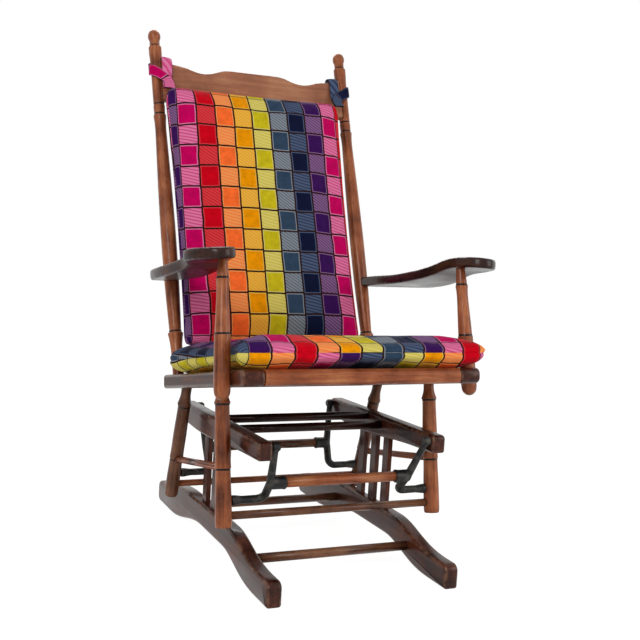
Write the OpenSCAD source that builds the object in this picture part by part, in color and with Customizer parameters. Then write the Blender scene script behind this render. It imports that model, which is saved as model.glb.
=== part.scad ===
// Platform rocker: a turned wooden armchair that swings on four iron hangers over a standing base.
// Lengths are millimetres, angles are degrees. +Z is up, the chair faces -Y, and +X is to the right
// seen from the front. The origin lies on the floor, under the middle of the whole object.
// Left and right are those of someone who looks at the chair from the front.

/* [Stance] */
// Height of the seat frame's top face over the floor, at the seat frame's own zero
seat_height = 366; // [340:1:400]
// Backward tilt of the whole chair at rest
seat_tilt = 10.5; // [7:0.5:13]

/* [Hangers] */
// Distance between a hanger's upper and lower pivots
hanger_length = 143; // [130:1:155]
// Angle of the front hangers from the vertical, lower end to the rear
front_hanger_angle = 34.3; // [30:0.1:38]
// Angle of the rear hangers from the vertical, lower end to the front
rear_hanger_angle = 17.7; // [14:0.1:21]
// Diameter of a hanger's cast bar
hanger_bar_diameter = 13; // [11:0.5:14]
// Diameter of the ear round the upper pin
ear_diameter = 18; // [16:0.5:20]
// Width of the ear along its pin
ear_width = 11; // [9:0.5:12]
// Distance down the hanger from the upper pin to the dowel socket
socket_drop = 90; // [80:1:100]
// Distance that the socket stands out from the line of the pivots
socket_bow = 8; // [4:0.5:11]
// Outside diameter of the dowel socket
socket_diameter = 26; // [24:0.5:30]
// Distance from the inner face of the base to the open end of a socket
socket_reach = 49; // [45:1:55]
// Depth of the hole in a socket
socket_depth = 24; // [18:1:26]
// Diameter of the lower arm that reaches out to the leg
lower_arm_diameter = 15; // [14:0.5:17]
// Diameter of the collar on the end of the lower arm
collar_diameter = 19; // [18:0.5:21]
// Diameter of the round knobs behind the socket and at the elbow
knob_diameter = 16.5; // [16:0.5:18]
// Length of the collar
collar_length = 8; // [6:0.5:10]
// Diameter of the wooden dowel between a pair of hangers
dowel_diameter = 19.5; // [16:0.5:20]

/* [Pins] */
// Diameter of an upper pivot pin
upper_pin_diameter = 8; // [7:0.5:9]
// Diameter of an upper pin's head
pin_head_diameter = 13; // [12:0.5:14]
// Thickness of an upper pin's head
pin_head_height = 4; // [3:0.5:5]
// Depth of an upper pin in the top rail
upper_pin_depth = 20; // [16:1:24]
// Diameter of a lower pivot pin
lower_pin_diameter = 9; // [8:0.5:10]
// Depth of a lower pin in the lower arm
lower_pin_grip = 28; // [20:1:34]
// Depth of a front lower pin in its leg
leg_pin_depth = 14; // [12:1:18]

/* [Base] */
// Distance that the base's inner faces lie in from the seat frame's, on each side
base_step = 33.5; // [32:0.5:40]
// Thickness of the runners and the top rails
base_board_thickness = 30; // [26:1:32]
// Reach of the runners in front of the seat frame's zero
runner_front = 322.5; // [310:0.5:350]
// Reach of the runners behind the seat frame's zero
runner_rear = 388; // [375:1:400]
// Height of the runner board where it lies on the floor
runner_depth = 47; // [44:1:55]
// Rise of the runner between the toe and the heel
runner_rise = 33; // [25:1:38]
// Distance from the front pivot to the front end of the top rail
rail_front_overhang = 10; // [9:0.5:14]
// Distance from the rear pivot to the rear end of the top rail
rail_rear_overhang = 19; // [14:0.5:24]
// Distance from a pivot up to the top edge of the top rail
rail_pivot_drop = 11.5; // [10:0.5:14]
// Greatest depth of the top rail
top_rail_depth = 48; // [44:1:56]
// Number of slats on each side
slat_count = 3; // [3:1:3]
// Distance from one slat to the next
slat_pitch = 56; // [50:1:60]
// Place of the middle slat behind the seat frame's zero
slat_middle = 19; // [10:1:30]
// Width of a slat along the rail
slat_width = 23; // [18:0.5:26]
// Thickness of a slat
slat_thickness = 10; // [8:0.5:14]
// Depth of a slat's mortise
slat_mortise = 12; // [8:0.5:15]
// Diameter of the upper rods
upper_rod_diameter = 17.5; // [15:0.5:18]
// Place of the rear upper rod behind the seat frame's zero
upper_rod_rear_place = 40; // [36:1:44]
// Distance from the top edge of the rail down to the rear upper rod
upper_rod_rear_drop = 9; // [8:0.5:12]
// Place of the front upper rod in front of the seat frame's zero
upper_rod_front_place = 23; // [15:1:30]
// Distance from the top edge of the rail down to the front upper rod
upper_rod_front_drop = 18.5; // [14:0.5:22]
// Diameter of the lower rods
lower_rod_diameter = 18.5; // [16:0.5:20]
// Place of the rear lower rod behind the seat frame's zero
lower_rod_rear_place = 174; // [150:1:180]
// Place of the front lower rod in front of the seat frame's zero
lower_rod_front_place = 165; // [155:1:180]
// Diameter of a rod's turned end
rod_end_diameter = 12; // [10:0.5:14]
// Depth of a rod's turned end in the board
rod_end_depth = 14; // [10:1:18]

/* [Seat frame] */
// Clear width between the side rails
seat_inner_width = 397; // [380:1:400]
// Width of a side rail
side_rail_width = 45; // [40:1:50]
// Thickness of the seat frame
seat_frame_thickness = 30; // [26:1:34]
// Reach of the seat frame in front of its zero
seat_front = 276.4; // [265:0.1:285]
// Reach of the side rails behind the seat frame's zero
seat_rear = 222; // [212:1:232]
// Radius of the rounded front edge
nose_radius = 12; // [6:0.5:12.5]
// Width of the front rail from front to back
front_rail_width = 40; // [36:1:50]
// Width of the rear rail from front to back
rear_rail_width = 40; // [38:1:50]
// Thickness of the seat board
seat_board_thickness = 12; // [9:0.5:14]
// Depth of the ledge that carries the seat board
board_ledge = 10; // [8:0.5:14]
// Length of the stub tenons on the front and rear rails
rail_tenon_length = 13; // [10:0.5:14]
// Thickness of the stub tenons
rail_tenon_thickness = 10; // [8:0.5:11]

/* [Legs] */
// Distance of the front legs' axes from the inner faces of the side rails
front_leg_inset = 25; // [24:0.5:27]
// Place of the front legs in front of the seat frame's zero
front_leg_place = 110.5; // [105:0.5:118]
// Length of a front leg below the seat frame
front_leg_length = 261; // [255:1:275]
// Greatest diameter of a front leg
front_leg_diameter = 32; // [30:0.5:32.5]
// Height of the front pivot below the top of the seat frame
front_pivot_drop = 241.5; // [236:0.5:246]
// Distance of the rear legs' axes from the inner faces of the side rails
rear_leg_inset = 24.5; // [23.5:0.5:27]
// Place where a rear leg meets the seat frame, behind its zero
rear_leg_place = 117; // [112:0.5:120]
// Backward lean of the rear legs from the seat frame
rear_leg_lean = 28.3; // [26:0.1:30]
// Length of a rear leg below the seat frame
rear_leg_length = 260; // [252:1:270]
// Greatest diameter of a rear leg
rear_leg_diameter = 29; // [27:0.5:30]
// Height of the rear pivot below the top of the seat frame
rear_pivot_drop = 211; // [206:0.5:216]
// Depth of the legs in the side rails
leg_tenon = 22; // [16:1:24]
// Diameter of the side stretchers
side_stretcher_diameter = 14; // [12:0.5:16]
// Height of the side stretchers below the top of the seat frame
side_stretcher_drop = 180; // [170:1:190]
// Diameter of the front stretcher
front_stretcher_diameter = 15.5; // [13:0.5:17]
// Height of the front stretcher below the top of the seat frame
front_stretcher_drop = 269.7; // [265:0.1:275]
// Diameter of the rear stretcher
rear_stretcher_diameter = 14; // [12:0.5:15]
// Height of the rear stretcher below the top of the seat frame
rear_stretcher_drop = 235; // [231:0.5:240]
// Depth of the stretchers in the legs
stretcher_depth = 10; // [8:0.5:12]

/* [Arms] */
// Length of an arm from its front tip to the back post
arm_length = 476; // [460:1:490]
// Greatest width of an arm
arm_width = 103.5; // [90:0.5:110]
// Thickness of an arm
arm_thickness = 18.5; // [16:0.5:22]
// Distance of an arm's inner edge from the inner face of the side rail under it
arm_inset = 24; // [22:0.5:27]
// Height of an arm's top face over the seat frame, at the back post
arm_height = 222; // [210:1:235]
// Depth of the dip in an arm's top face
arm_dip = 12; // [4:0.5:16]
// Roll of an arm, with its outer edge down
arm_roll = 4; // [0:0.5:6]
// Greatest diameter of an arm post
arm_post_diameter = 31; // [29:0.5:32]
// Place of an arm post in front of the seat frame's zero, at the seat frame
arm_post_place = 209; // [200:1:215]
// Forward lean of an arm post's lower end
arm_post_lean = 2.25; // [0:0.05:4]
// Outward splay of an arm post's lower end
arm_post_splay = 1.76; // [0:0.02:3]
// Length of an arm post below the top of the seat frame
arm_post_drop = 54; // [48:1:60]
// Depth of an arm post's end in the arm
arm_post_tenon = 10; // [7:0.5:12]
// Depth of the flat on an arm post against the side rail
arm_post_flat = 2; // [1:0.1:4]

/* [Back] */
// Place of the back posts behind the seat frame's zero
back_post_place = 161.3; // [158:0.1:170]
// Backward lean of the back from the seat frame
back_lean = 11.07; // [8:0.01:14]
// Distance of the back posts' axes from the inner faces of the side rails
back_post_inset = 29; // [27:0.5:31]
// Outward splay of the back posts
back_post_splay = 0.48; // [0:0.02:1]
// Length of a back post above the seat frame, with its finial
back_post_length = 810; // [760:1:840]
// Greatest diameter of a back post
back_post_diameter = 33; // [30:0.5:35]
// Depth of a back post's foot in the side rail
back_post_tenon = 20; // [16:1:24]
// Diameter of the finial
finial_diameter = 28.5; // [26:0.5:30]
// Height of the finial
finial_height = 35; // [32:1:40]
// Distance along the post from the seat frame to the underside of the crest rail
crest_low = 632; // [610:1:650]
// Height of the crest rail in the middle
crest_height = 92; // [80:1:110]
// Rise of the crest rail's outer ends over its middle
crest_ear_rise = 12; // [6:0.5:20]
// Thickness of the crest rail
crest_thickness = 19; // [16:0.5:20]
// Depth of the crest rail's ends in the posts
crest_tenon = 8; // [5:0.5:9]
// Number of spindles in the back
spindle_count = 5; // [5:1:5]
// Diameter of a spindle in the middle
spindle_diameter = 16; // [14:0.5:18]
// Diameter of a spindle's ends
spindle_end_diameter = 12; // [9:0.5:13]
// Depth of a spindle's ends in the rails
spindle_tenon = 15; // [10:1:18]

/* [Cushions] */
// Distance that the seat cushion's rear corners reach past the inner faces of the side rails
seat_cushion_overhang = 64.5; // [58:0.5:68]
// Reach of the seat cushion in front of the seat frame's zero
seat_cushion_front = 288; // [278:1:295]
// Reach of the seat cushion behind the seat frame's zero
seat_cushion_rear = 148; // [140:1:150]
// Thickness of the seat cushion in the middle
seat_cushion_thickness = 59; // [50:1:62]
// Distance from a back post's axis in to the side of the back cushion, hung in the middle
back_cushion_inset = 15.5; // [14:0.5:22]
// Distance that the back cushion lies to the left of the middle
back_cushion_shift = 17; // [0:1:18]
// Distance along the back from the seat frame to the lower end of the back cushion
back_cushion_low = 50; // [49:0.5:60]
// Length of the back cushion
back_cushion_length = 597; // [560:1:600]
// Thickness of the back cushion in the middle
back_cushion_thickness = 56; // [45:1:60]
// Distance from the plane of the posts to the rear face of the back cushion
back_cushion_stand = 11; // [10.5:0.5:16]
// Width of a tie's cloth band
tie_width = 24; // [16:1:26]
// Thickness of a tie's cloth band
tie_thickness = 2.6; // [1.5:0.1:4]

/* [Hidden] */
$fn = 72;

wood = [0.42, 0.22, 0.14];
pale_wood = [0.55, 0.30, 0.18];
iron = [0.17, 0.17, 0.16];
cloth = [0.75, 0.20, 0.35];
tie_cloth = [0.55, 0.10, 0.25];

// Gap on each side of a tenon or dowel that is glued in its hole
joint_gap = 0.1;
// Gap on each side of a pin that turns in its hole
pin_gap = 0.05;
// Gap between faces that slide past each other
slide_gap = 0.5;
// Gap between a pin's head and the ear that turns under it
head_gap = 0.2;
// Gap round cloth and stuffing
soft_gap = 0.3;
// Distance that a cut runs past the face it goes through
overrun = 5;
// Pieces that a curve is cut into between two of its points
curve_steps = 4;
// Pieces that a rounded corner is cut into
corner_steps = 6;

// Pivots in the plane that looks at the chair from its side, as [y, z] over the floor
front_low_pivot = standing_point(-front_leg_place, -front_pivot_drop);
rear_pivot_place = rear_leg_place + (rear_pivot_drop - seat_frame_thickness) * tan(rear_leg_lean);
rear_low_pivot = standing_point(rear_pivot_place, -rear_pivot_drop);
front_high_pivot = front_low_pivot + hanger_length * [-sin(front_hanger_angle), cos(front_hanger_angle)];
rear_high_pivot = rear_low_pivot + hanger_length * [sin(rear_hanger_angle), cos(rear_hanger_angle)];

// Half widths, each from the clear width between the side rails
seat_half = seat_inner_width / 2;
side_rail_outside = seat_half + side_rail_width;
base_half = seat_half - base_step;
front_leg_spread = seat_half + front_leg_inset;
rear_leg_spread = seat_half + rear_leg_inset;
back_post_spread = seat_half + back_post_inset;
arm_inner_x = seat_half + arm_inset;

// The base
runner_length = runner_front + runner_rear;
rail_front = front_high_pivot[0] - rail_front_overhang;
rail_rear = rear_high_pivot[0] + rail_rear_overhang;
rail_slope = (rear_high_pivot[1] - front_high_pivot[1]) / (rear_high_pivot[0] - front_high_pivot[0]);
toe_radius = 15;
toe_low_radius = 4;
heel_radius = 14;
rail_front_radius = 9;
rail_rear_radius = 16;
rail_low_radius = 4;
// Where the underside and the top of a runner rise and fall, as shares of its length
under_rise_share = [0.085, 0.353];
under_fall_share = [0.545, 0.855];
top_rise_share = [0.045, 0.32];
top_fall_share = [0.595, 1];
runner_samples = 48;
// Depth of the top rail from front to rear: [share of its length, share of its greatest depth]
rail_depth_shares = [[0, 0.73], [0.27, 0.8], [0.5, 0.95], [0.72, 1], [0.86, 0.94], [1, 0.84]];
// Height of the lower rods in the runner board
lower_rod_share = 0.44;

// The hangers
ear_middle = base_half - slide_gap - ear_width / 2;
// Set-back of the bar from the ear's outer face, and the depth of the seat for the pin's head
bar_step = 1;
head_seat = 0.3;
bar_top_x = base_half - slide_gap - bar_step - hanger_bar_diameter / 2;
socket_end_x = base_half - socket_reach;
socket_wall = 6;
socket_back_x = socket_end_x + socket_depth + socket_wall;
elbow_x = socket_back_x + bar_step;
// Girth of a front leg at its pivot, as a share of its greatest diameter
pivot_girth_share = 0.985;
front_leg_face = front_leg_spread - front_leg_diameter / 2 * pivot_girth_share;
rear_leg_face = rear_leg_spread - rear_leg_diameter / 2;

// The seat frame
side_rail_length = seat_front + seat_rear;
rear_nose_radius = 5;
rear_rail_front = back_post_place - rear_rail_width / 2;
tenon_inset = 6;

// The legs, as [share of the length, share of the greatest diameter] from the seat frame down
leg_neck_share = 0.66;
front_leg_shares = [
    [[0, 0.66], [0.046, 0.69], [0.082, 0.82], [0.107, 0.97]],
    [[0.115, 0.97], [0.119, 0.9], [0.125, 0.9], [0.13, 0.855]],
    [[0.2, 0.87], [0.36, 0.93], [0.5, 0.93], [0.573, 0.97]],
    [[0.579, 0.97], [0.583, 0.9], [0.589, 0.9], [0.594, 0.9]],
    [[0.67, 0.92], [0.8, 0.985], [0.93, 1], [0.975, 0.99], [0.992, 0.95], [1, 0.89]]
];
rear_leg_neck_share = 0.74;
rear_leg_shares = [
    [[0, 0.74], [0.06, 0.74], [0.1, 0.84], [0.14, 1]],
    [[0.147, 1], [0.152, 0.93], [0.158, 0.93], [0.163, 0.9]],
    [[0.25, 0.9], [0.42, 0.97], [0.56, 0.96], [0.63, 1]],
    [[0.637, 1], [0.642, 0.93], [0.648, 0.93], [0.653, 0.94]],
    [[0.72, 0.96], [0.82, 1], [0.93, 1], [0.975, 0.99], [0.992, 0.95], [1, 0.89]]
];

// The arm posts, from the lower tip up
arm_post_neck_share = 0.58;
arm_post_shares = [
    [[0, 0], [0.004, 0.32], [0.014, 0.6], [0.034, 0.86], [0.06, 0.97], [0.09, 1]],
    [[0.2, 1], [0.33, 0.985], [0.4, 0.97], [0.44, 0.97]],
    [[0.446, 0.97], [0.45, 0.9], [0.456, 0.9], [0.46, 0.89]],
    [[0.52, 0.86], [0.62, 0.79], [0.74, 0.72], [0.8, 0.75], [0.824, 0.8]],
    [[0.83, 0.8], [0.834, 0.73], [0.84, 0.73], [0.845, 0.71]],
    [[0.87, 0.69], [0.92, 0.62], [0.955, 0.58], [1, 0.58]]
];
// How far down the dip of the arm its post stands
arm_post_dip_share = 0.1;
arm_post_x = side_rail_outside + arm_post_diameter / 2 - arm_post_flat;
arm_post_fall = arm_dip * arm_post_dip_share + (arm_post_x - arm_inner_x) * sin(arm_roll);
arm_post_top = arm_height - arm_thickness - arm_post_fall + arm_post_tenon;
arm_post_length = (arm_post_top + arm_post_drop) / cos(arm_post_lean) / cos(arm_post_splay);
// Share of the back post's radius that the arm's end keeps clear of the post's axis
arm_seat_share = 0.9;
arm_front_y = back_post_at(arm_height)[0] - back_post_diameter / 2 * arm_seat_share - arm_length;
// Plan of an arm: [share of its width from the inner edge, share of its length from the front]
arm_plan_shares = [
    [0.25, 1], [0.46, 0.925], [0.652, 0.853], [0.826, 0.769], [0.94, 0.685], [0.985, 0.601],
    [0.975, 0.519], [0.925, 0.435], [0.86, 0.37], [0.82, 0.325], [0.82, 0.285], [0.87, 0.245],
    [0.94, 0.215], [0.955, 0.18], [0.91, 0.135], [0.8, 0.09], [0.67, 0.06], [0.54, 0.045],
    [0.39, 0.048], [0.26, 0.07], [0.17, 0.11], [0.115, 0.165], [0.08, 0.24], [0.045, 0.35],
    [0.015, 0.517], [0, 0.811], [0, 1]
];
// Top face of an arm: [share of its length from the front, share of the dip]
arm_top_shares = [
    [-0.01, 0.3], [0.03, 0.42], [0.07, 0.61], [0.11, 0.78], [0.155, 0.9], [0.2, 0.93], [0.24, 0.84],
    [0.277, 0.66], [0.328, 0.35], [0.414, 0.08], [0.504, 0], [0.601, 0.03], [0.693, 0.16],
    [0.845, 0.62], [1, 1], [1.01, 1.04]
];

// The back posts, from the seat frame up to the base of the finial
back_post_neck_share = 0.73;
back_post_shares = [
    [[0, 0.73], [0.05, 0.73], [0.085, 0.8], [0.102, 0.9], [0.112, 1]],
    [[0.115, 1], [0.118, 0.84], [0.121, 0.84], [0.124, 0.78]],
    [
        [0.17, 0.85], [0.25, 0.96], [0.33, 1], [0.43, 1], [0.55, 0.93], [0.66, 0.82], [0.73, 0.76],
        [0.765, 0.86]
    ],
    [[0.768, 0.86], [0.77, 0.76], [0.773, 0.76], [0.776, 0.75]],
    [[0.782, 0.76], [0.792, 0.78], [0.799, 0.78], [0.801, 0.72], [0.804, 0.72], [0.806, 0.76]],
    [[0.83, 0.77], [0.9, 0.78], [0.945, 0.82], [0.965, 0.88]],
    [[0.975, 0.88], [0.984, 0.88], [0.987, 0.87], [0.989, 0.7]],
    [[0.99, 0.7], [1, 0.7]]
];
finial_steps = 18;
finial_neck_share = 0.58;
finial_foot_share = 1.1;

// Top edge of half the crest rail: [share of the half width, share of the ear rise over the middle]
crest_top_shares = [
    [0, 0], [0.13, 0], [0.26, -0.02], [0.34, -0.25], [0.41, -0.75], [0.48, -1.12], [0.55, -1.25],
    [0.62, -1.05], [0.69, -0.62]
];
crest_ear_shares = [[0.7, -0.52], [0.79, -0.2], [0.88, 0.05], [0.945, 0.6], [1, 1]];
crest_half = post_axis_x(crest_low) - back_post_diameter / 2 * back_post_neck_share + crest_tenon;

// Distance from one spindle to the next, as a share of the posts' distance from the middle
spindle_pitch_share = 0.3165;
spindle_pitch = back_post_spread * spindle_pitch_share;
// A spindle from its lower tenon up: [share of the length, share of the greatest diameter]
spindle_end_share = spindle_end_diameter / spindle_diameter;
spindle_shares = [
    [0, spindle_end_share], [0.03, spindle_end_share], [0.12, 0.83], [0.3, 0.94], [0.45, 1], [0.6, 0.97],
    [0.85, 0.84], [0.97, spindle_end_share], [1, spindle_end_share]
];

seat_cushion_half_width = seat_half + seat_cushion_overhang;
back_cushion_half_width = back_post_spread - back_cushion_inset;
// Half the outline of the seat cushion, rear to front: [share of half width, share of its length]
seat_cushion_shares = [
    [0, 0], [0.3, 0], [0.6, 0.002], [0.86, 0.004], [0.955, 0.016], [0.99, 0.05], [0.998, 0.11],
    [0.98, 0.23], [0.957, 0.35], [0.935, 0.57], [0.91, 0.72], [0.9, 0.81], [0.912, 0.87], [0.95, 0.925],
    [0.965, 0.962], [0.935, 0.983], [0.84, 0.99], [0.55, 0.996], [0.25, 1], [0, 1]
];
// Edge of the seat cushion from its underside to its top: [inset, height], as shares of its thickness
seat_edge_shares = [
    [2, 0], [0.8, 0], [0.42, 0.05], [0.18, 0.14], [0.05, 0.28], [0, 0.46], [0.035, 0.63], [0.14, 0.79],
    [0.36, 0.9], [0.8, 0.965], [1.8, 0.99]
];
// Half the outline of the back cushion, low to high: [share of half width, share of its length]
back_cushion_shares = [
    [0, 0], [0.35, 0], [0.7, 0.001], [0.9, 0.004], [0.955, 0.012], [0.965, 0.035], [0.958, 0.1],
    [0.952, 0.25], [0.955, 0.45], [0.965, 0.65], [0.982, 0.85], [0.995, 0.94], [0.99, 0.975],
    [0.975, 0.99], [0.95, 0.9975],
    [0.9, 1], [0.8, 1], [0.55, 0.999], [0.25, 0.998], [0, 0.998]
];
// Edge of the back cushion from its rear face to its front: [inset, height], as shares of its thickness
back_edge_shares = [
    [1.6, 0], [0.75, 0.01], [0.3, 0.06], [0.1, 0.15], [0.01, 0.3], [0, 0.5], [0.03, 0.68], [0.12, 0.83],
    [0.36, 0.92], [0.9, 0.97], [2, 0.99]
];

// The ties
// Girth of the back post under a tie, as a share of its greatest diameter
tie_girth_share = 0.89;
tie_ring_low = crest_low + crest_height + crest_ear_rise + soft_gap;
tie_ring_height = 22;
tie_ring_inside = back_post_diameter / 2 * tie_girth_share + soft_gap;
tie_foot_inset = 31.5;
tie_foot_x = back_post_spread - tie_foot_inset;
// Share of the cushion's thickness that a tie's tab covers
tie_tab_share = 0.6;

// The middle of the object from front to back, between the runners' toes and the finials
finial_lean = seat_tilt + back_lean;
finial_middle = back_post_length - finial_height / 2;
finial_reach = norm([finial_diameter * cos(finial_lean), finial_height * sin(finial_lean)]) / 2;
back_foot = standing_point(back_post_place, 0);
object_rear = back_foot[0] + finial_middle * cos(back_post_splay) * sin(finial_lean) + finial_reach;
object_shift = (runner_front - object_rear) / 2;

// A point of the tilted chair, [behind its zero, over its seat frame], as [y, z] over the floor
function standing_point(y, z) = [
    y * cos(seat_tilt) + z * sin(seat_tilt),
    seat_height - y * sin(seat_tilt) + z * cos(seat_tilt)
];

// Where the back posts' plane is at a height over the seat frame, as [y, z] of the seat frame
function back_post_at(height) = [back_post_place + height * tan(back_lean), height];

// Distance of a back post's axis from the middle at a distance up the post
function post_axis_x(up) = back_post_spread + up * tan(back_post_splay);

// A smooth curve through points
function curve(points) = [
    for (i = [0 : len(points) - 2], k = [0 : curve_steps - 1])
        let (
            a = points[max(i - 1, 0)], b = points[i], c = points[i + 1],
            d = points[min(i + 2, len(points) - 1)], t = k / curve_steps
        )
        (2 * b + (c - a) * t + (2 * a - 5 * b + 4 * c - d) * pow(t, 2)
            + (3 * b - a - 3 * c + d) * pow(t, 3)) / 2,
    points[len(points) - 1]
];

function unit(v) = v / norm(v);
function cross_z(u, v) = u[0] * v[1] - u[1] * v[0];
function turned_by(v, angle) =
    [v[0] * cos(angle) - v[1] * sin(angle), v[0] * sin(angle) + v[1] * cos(angle)];

// The arc that rounds the corner at b between its neighbours a and c
function corner(a, b, c, radius) =
    let (
        u = unit(a - b), v = unit(c - b), half = acos(u * v) / 2,
        middle = b + unit(u + v) * radius / sin(half),
        start = b + u * radius / tan(half) - middle,
        turn = (cross_z(u, v) > 0 ? -1 : 1) * (180 - 2 * half)
    )
    [for (k = [0 : corner_steps]) middle + turned_by(start, turn * k / corner_steps)];

// A soft step from 0 to 1 between two shares, slow at its start when ease is over 1
function step_between(share, limits, ease) =
    let (t = min(max((share - limits[0]) / (limits[1] - limits[0]), 0), 1))
    (1 - cos(180 * pow(t, ease))) / 2;

rise_ease = 1.3;
fall_ease = 1.5;
function runner_share(y) = (y + runner_front) / runner_length;
function runner_under(y) = runner_rise * (
    step_between(runner_share(y), under_rise_share, rise_ease)
    - step_between(runner_share(y), under_fall_share, 1));
function runner_top(y) = runner_depth + runner_rise * (
    step_between(runner_share(y), top_rise_share, rise_ease)
    - step_between(runner_share(y), top_fall_share, fall_ease));
function lower_rod_z(y) = runner_under(y) + lower_rod_share * (runner_top(y) - runner_under(y));

function rail_top(y) = front_high_pivot[1] + rail_pivot_drop + (y - front_high_pivot[0]) * rail_slope;
function rail_share_y(share) = rail_front + share * (rail_rear - rail_front);

// Everything in the standing frame, then in the tilted chair's, then in the plane of the back posts
module standing() { translate([0, object_shift, 0]) children(); }
module chair() { standing() translate([0, 0, seat_height]) rotate([-seat_tilt, 0, 0]) children(); }
module back_plane() { chair() translate([0, back_post_place, 0]) rotate([-back_lean, 0, 0]) children(); }

// way is -1 on the left and 1 on the right
module on_side(way) { mirror([way < 0 ? 1 : 0, 0, 0]) children(); }

// Draws from p towards q what is drawn up the Z axis
module along(p, q) {
    v = q - p;
    translate(p) rotate([0, acos(v[2] / norm(v)), atan2(v[1], v[0])]) children();
}

module round_bar(p, q, diameter) { along(p, q) cylinder(h = norm(q - p), d = diameter); }

// A cylinder along X
module x_bar(from_x, to_x, y, z, diameter) {
    translate([from_x, y, z]) rotate([0, 90, 0]) cylinder(h = to_x - from_x, d = diameter);
}

// A board with its outline in [y, z], from one x to another
module x_board(from_x, to_x) {
    translate([from_x, 0, 0]) rotate([90, 0, 90]) linear_extrude(to_x - from_x) children();
}

// A turned piece along Z. Each stretch is a list of [share of length, share of diameter].
module turned(stretches, length, diameter) {
    points = [for (stretch = stretches) each curve(stretch)];
    rotate_extrude() polygon(concat(
        [[0, points[0][0] * length]],
        [for (p = points) if (p[1] > 0) [p[1] * diameter / 2, p[0] * length]],
        [[0, points[len(points) - 1][0] * length]]
    ));
}

// A closed skin over rings of points, one over another, with a point under and over them
module skin(rings, low, high) {
    n = len(rings[0]);
    last = (len(rings) - 1) * n;
    low_index = len(rings) * n;
    polyhedron(
        points = concat([for (ring = rings) each ring], [low, high]),
        faces = concat(
            [for (i = [0 : len(rings) - 2], j = [0 : n - 1])
                let (a = i * n + j, b = i * n + (j + 1) % n) each [[a, a + n, b + n], [a, b + n, b]]],
            [for (j = [0 : n - 1]) [low_index, j, (j + 1) % n]],
            [for (j = [0 : n - 1]) [low_index + 1, last + (j + 1) % n, last + j]]
        )
    );
}

// A stuffed cushion lying on z 0: half its outline from start, length on from it, and its edge
module cushion(half_shares, edge_shares, half_width, start, length, thickness) {
    right = [for (p = half_shares) [p[0] * half_width, start + p[1] * length]];
    left = [for (i = [len(right) - 2 : -1 : 1]) [-right[i][0], right[i][1]]];
    outline = concat(right, left);
    middle = start + length / 2;
    rings = [for (edge = edge_shares) let (inset = edge[0] * thickness)
        [for (p = outline) [
            p[0] * (1 - inset / half_width),
            middle + (p[1] - middle) * (1 - 2 * inset / abs(length)),
            edge[1] * thickness
        ]]];
    wound = length > 0 ? rings : [for (ring = rings) [for (i = [len(ring) - 1 : -1 : 0]) ring[i]]];
    skin(wound, [0, middle, 0], [0, middle, thickness]);
}

module runner(way) {
    low_toe = [-runner_front, 0];
    high_toe = [-runner_front, runner_depth];
    low_heel = [runner_rear, 0];
    high_heel = [runner_rear, runner_top(runner_rear)];
    reach = runner_length / runner_samples;
    heel_inside = [runner_rear - reach, runner_top(runner_rear - reach)];
    samples = [for (i = [1 : runner_samples - 1]) -runner_front + i * reach];
    color(wood) standing() on_side(way) difference() {
        x_board(base_half, base_half + base_board_thickness) polygon(concat(
            corner(high_toe, low_toe, low_heel, toe_low_radius),
            [for (y = samples) if (y < runner_rear - heel_radius - reach) [y, runner_under(y)]],
            corner(low_toe, low_heel, high_heel, heel_radius),
            corner(low_heel, high_heel, heel_inside, heel_radius),
            [for (i = [len(samples) - 1 : -1 : 0]) let (y = samples[i])
                if (y < runner_rear - heel_radius && y > toe_radius - runner_front) [y, runner_top(y)]],
            corner([0, runner_depth], high_toe, low_toe, toe_radius)
        ));
        for (i = [0 : slat_count - 1]) slat_shape(i, joint_gap);
        rod_end_hole(-lower_rod_front_place, lower_rod_z(-lower_rod_front_place));
        rod_end_hole(lower_rod_rear_place, lower_rod_z(lower_rod_rear_place));
    }
}

module rod_end_hole(y, z) {
    x_bar(base_half - overrun, base_half + rod_end_depth, y, z, rod_end_diameter + 2 * joint_gap);
}

module top_rail(way) {
    high_front = [rail_front, rail_top(rail_front)];
    high_rear = [rail_rear, rail_top(rail_rear)];
    under = curve([for (p = rail_depth_shares)
        let (y = rail_share_y(p[0])) [y, rail_top(y) - p[1] * top_rail_depth]]);
    last = len(under) - 1;
    color(wood) standing() on_side(way) difference() {
        x_board(base_half, base_half + base_board_thickness) polygon(concat(
            corner(high_front, under[0], under[1], rail_low_radius),
            [for (i = [1 : last - 2]) under[i]],
            corner(under[last - 1], under[last], high_rear, rail_rear_radius),
            corner(under[last], high_rear, high_front, rail_rear_radius),
            corner(high_rear, high_front, under[0], rail_front_radius)
        ));
        for (i = [0 : slat_count - 1]) slat_shape(i, joint_gap);
        rod_end_hole(upper_rod_rear_place, rail_top(upper_rod_rear_place) - upper_rod_rear_drop);
        rod_end_hole(-upper_rod_front_place, rail_top(-upper_rod_front_place) - upper_rod_front_drop);
        upper_pin_hole(front_high_pivot);
        upper_pin_hole(rear_high_pivot);
    }
}

module upper_pin_hole(pivot) {
    x_bar(
        base_half - overrun, base_half + upper_pin_depth,
        pivot[0], pivot[1], upper_pin_diameter + 2 * joint_gap);
}

// A slat on the right, grown by a gap for its mortises. It stands on the lowest of its foot's corners.
module slat_shape(index, gap) {
    y = slat_middle + (index - (slat_count - 1) / 2) * slat_pitch;
    low = min(runner_top(y - slat_width / 2), runner_top(y + slat_width / 2)) - slat_mortise;
    high = slat_head(y) + slat_mortise;
    middle = base_half + base_board_thickness / 2;
    translate([middle - slat_thickness / 2 - gap, y - slat_width / 2 - gap, low])
        cube([slat_thickness + 2 * gap, slat_width + 2 * gap, high - low]);
}

// Height of the top rail's underside over a slat
function slat_head(y) = rail_top(y) - top_rail_depth * lookup(
    (y - rail_front) / (rail_rear - rail_front), rail_depth_shares);

module slat(way, index) { color(wood) standing() on_side(way) slat_shape(index, 0); }

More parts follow.
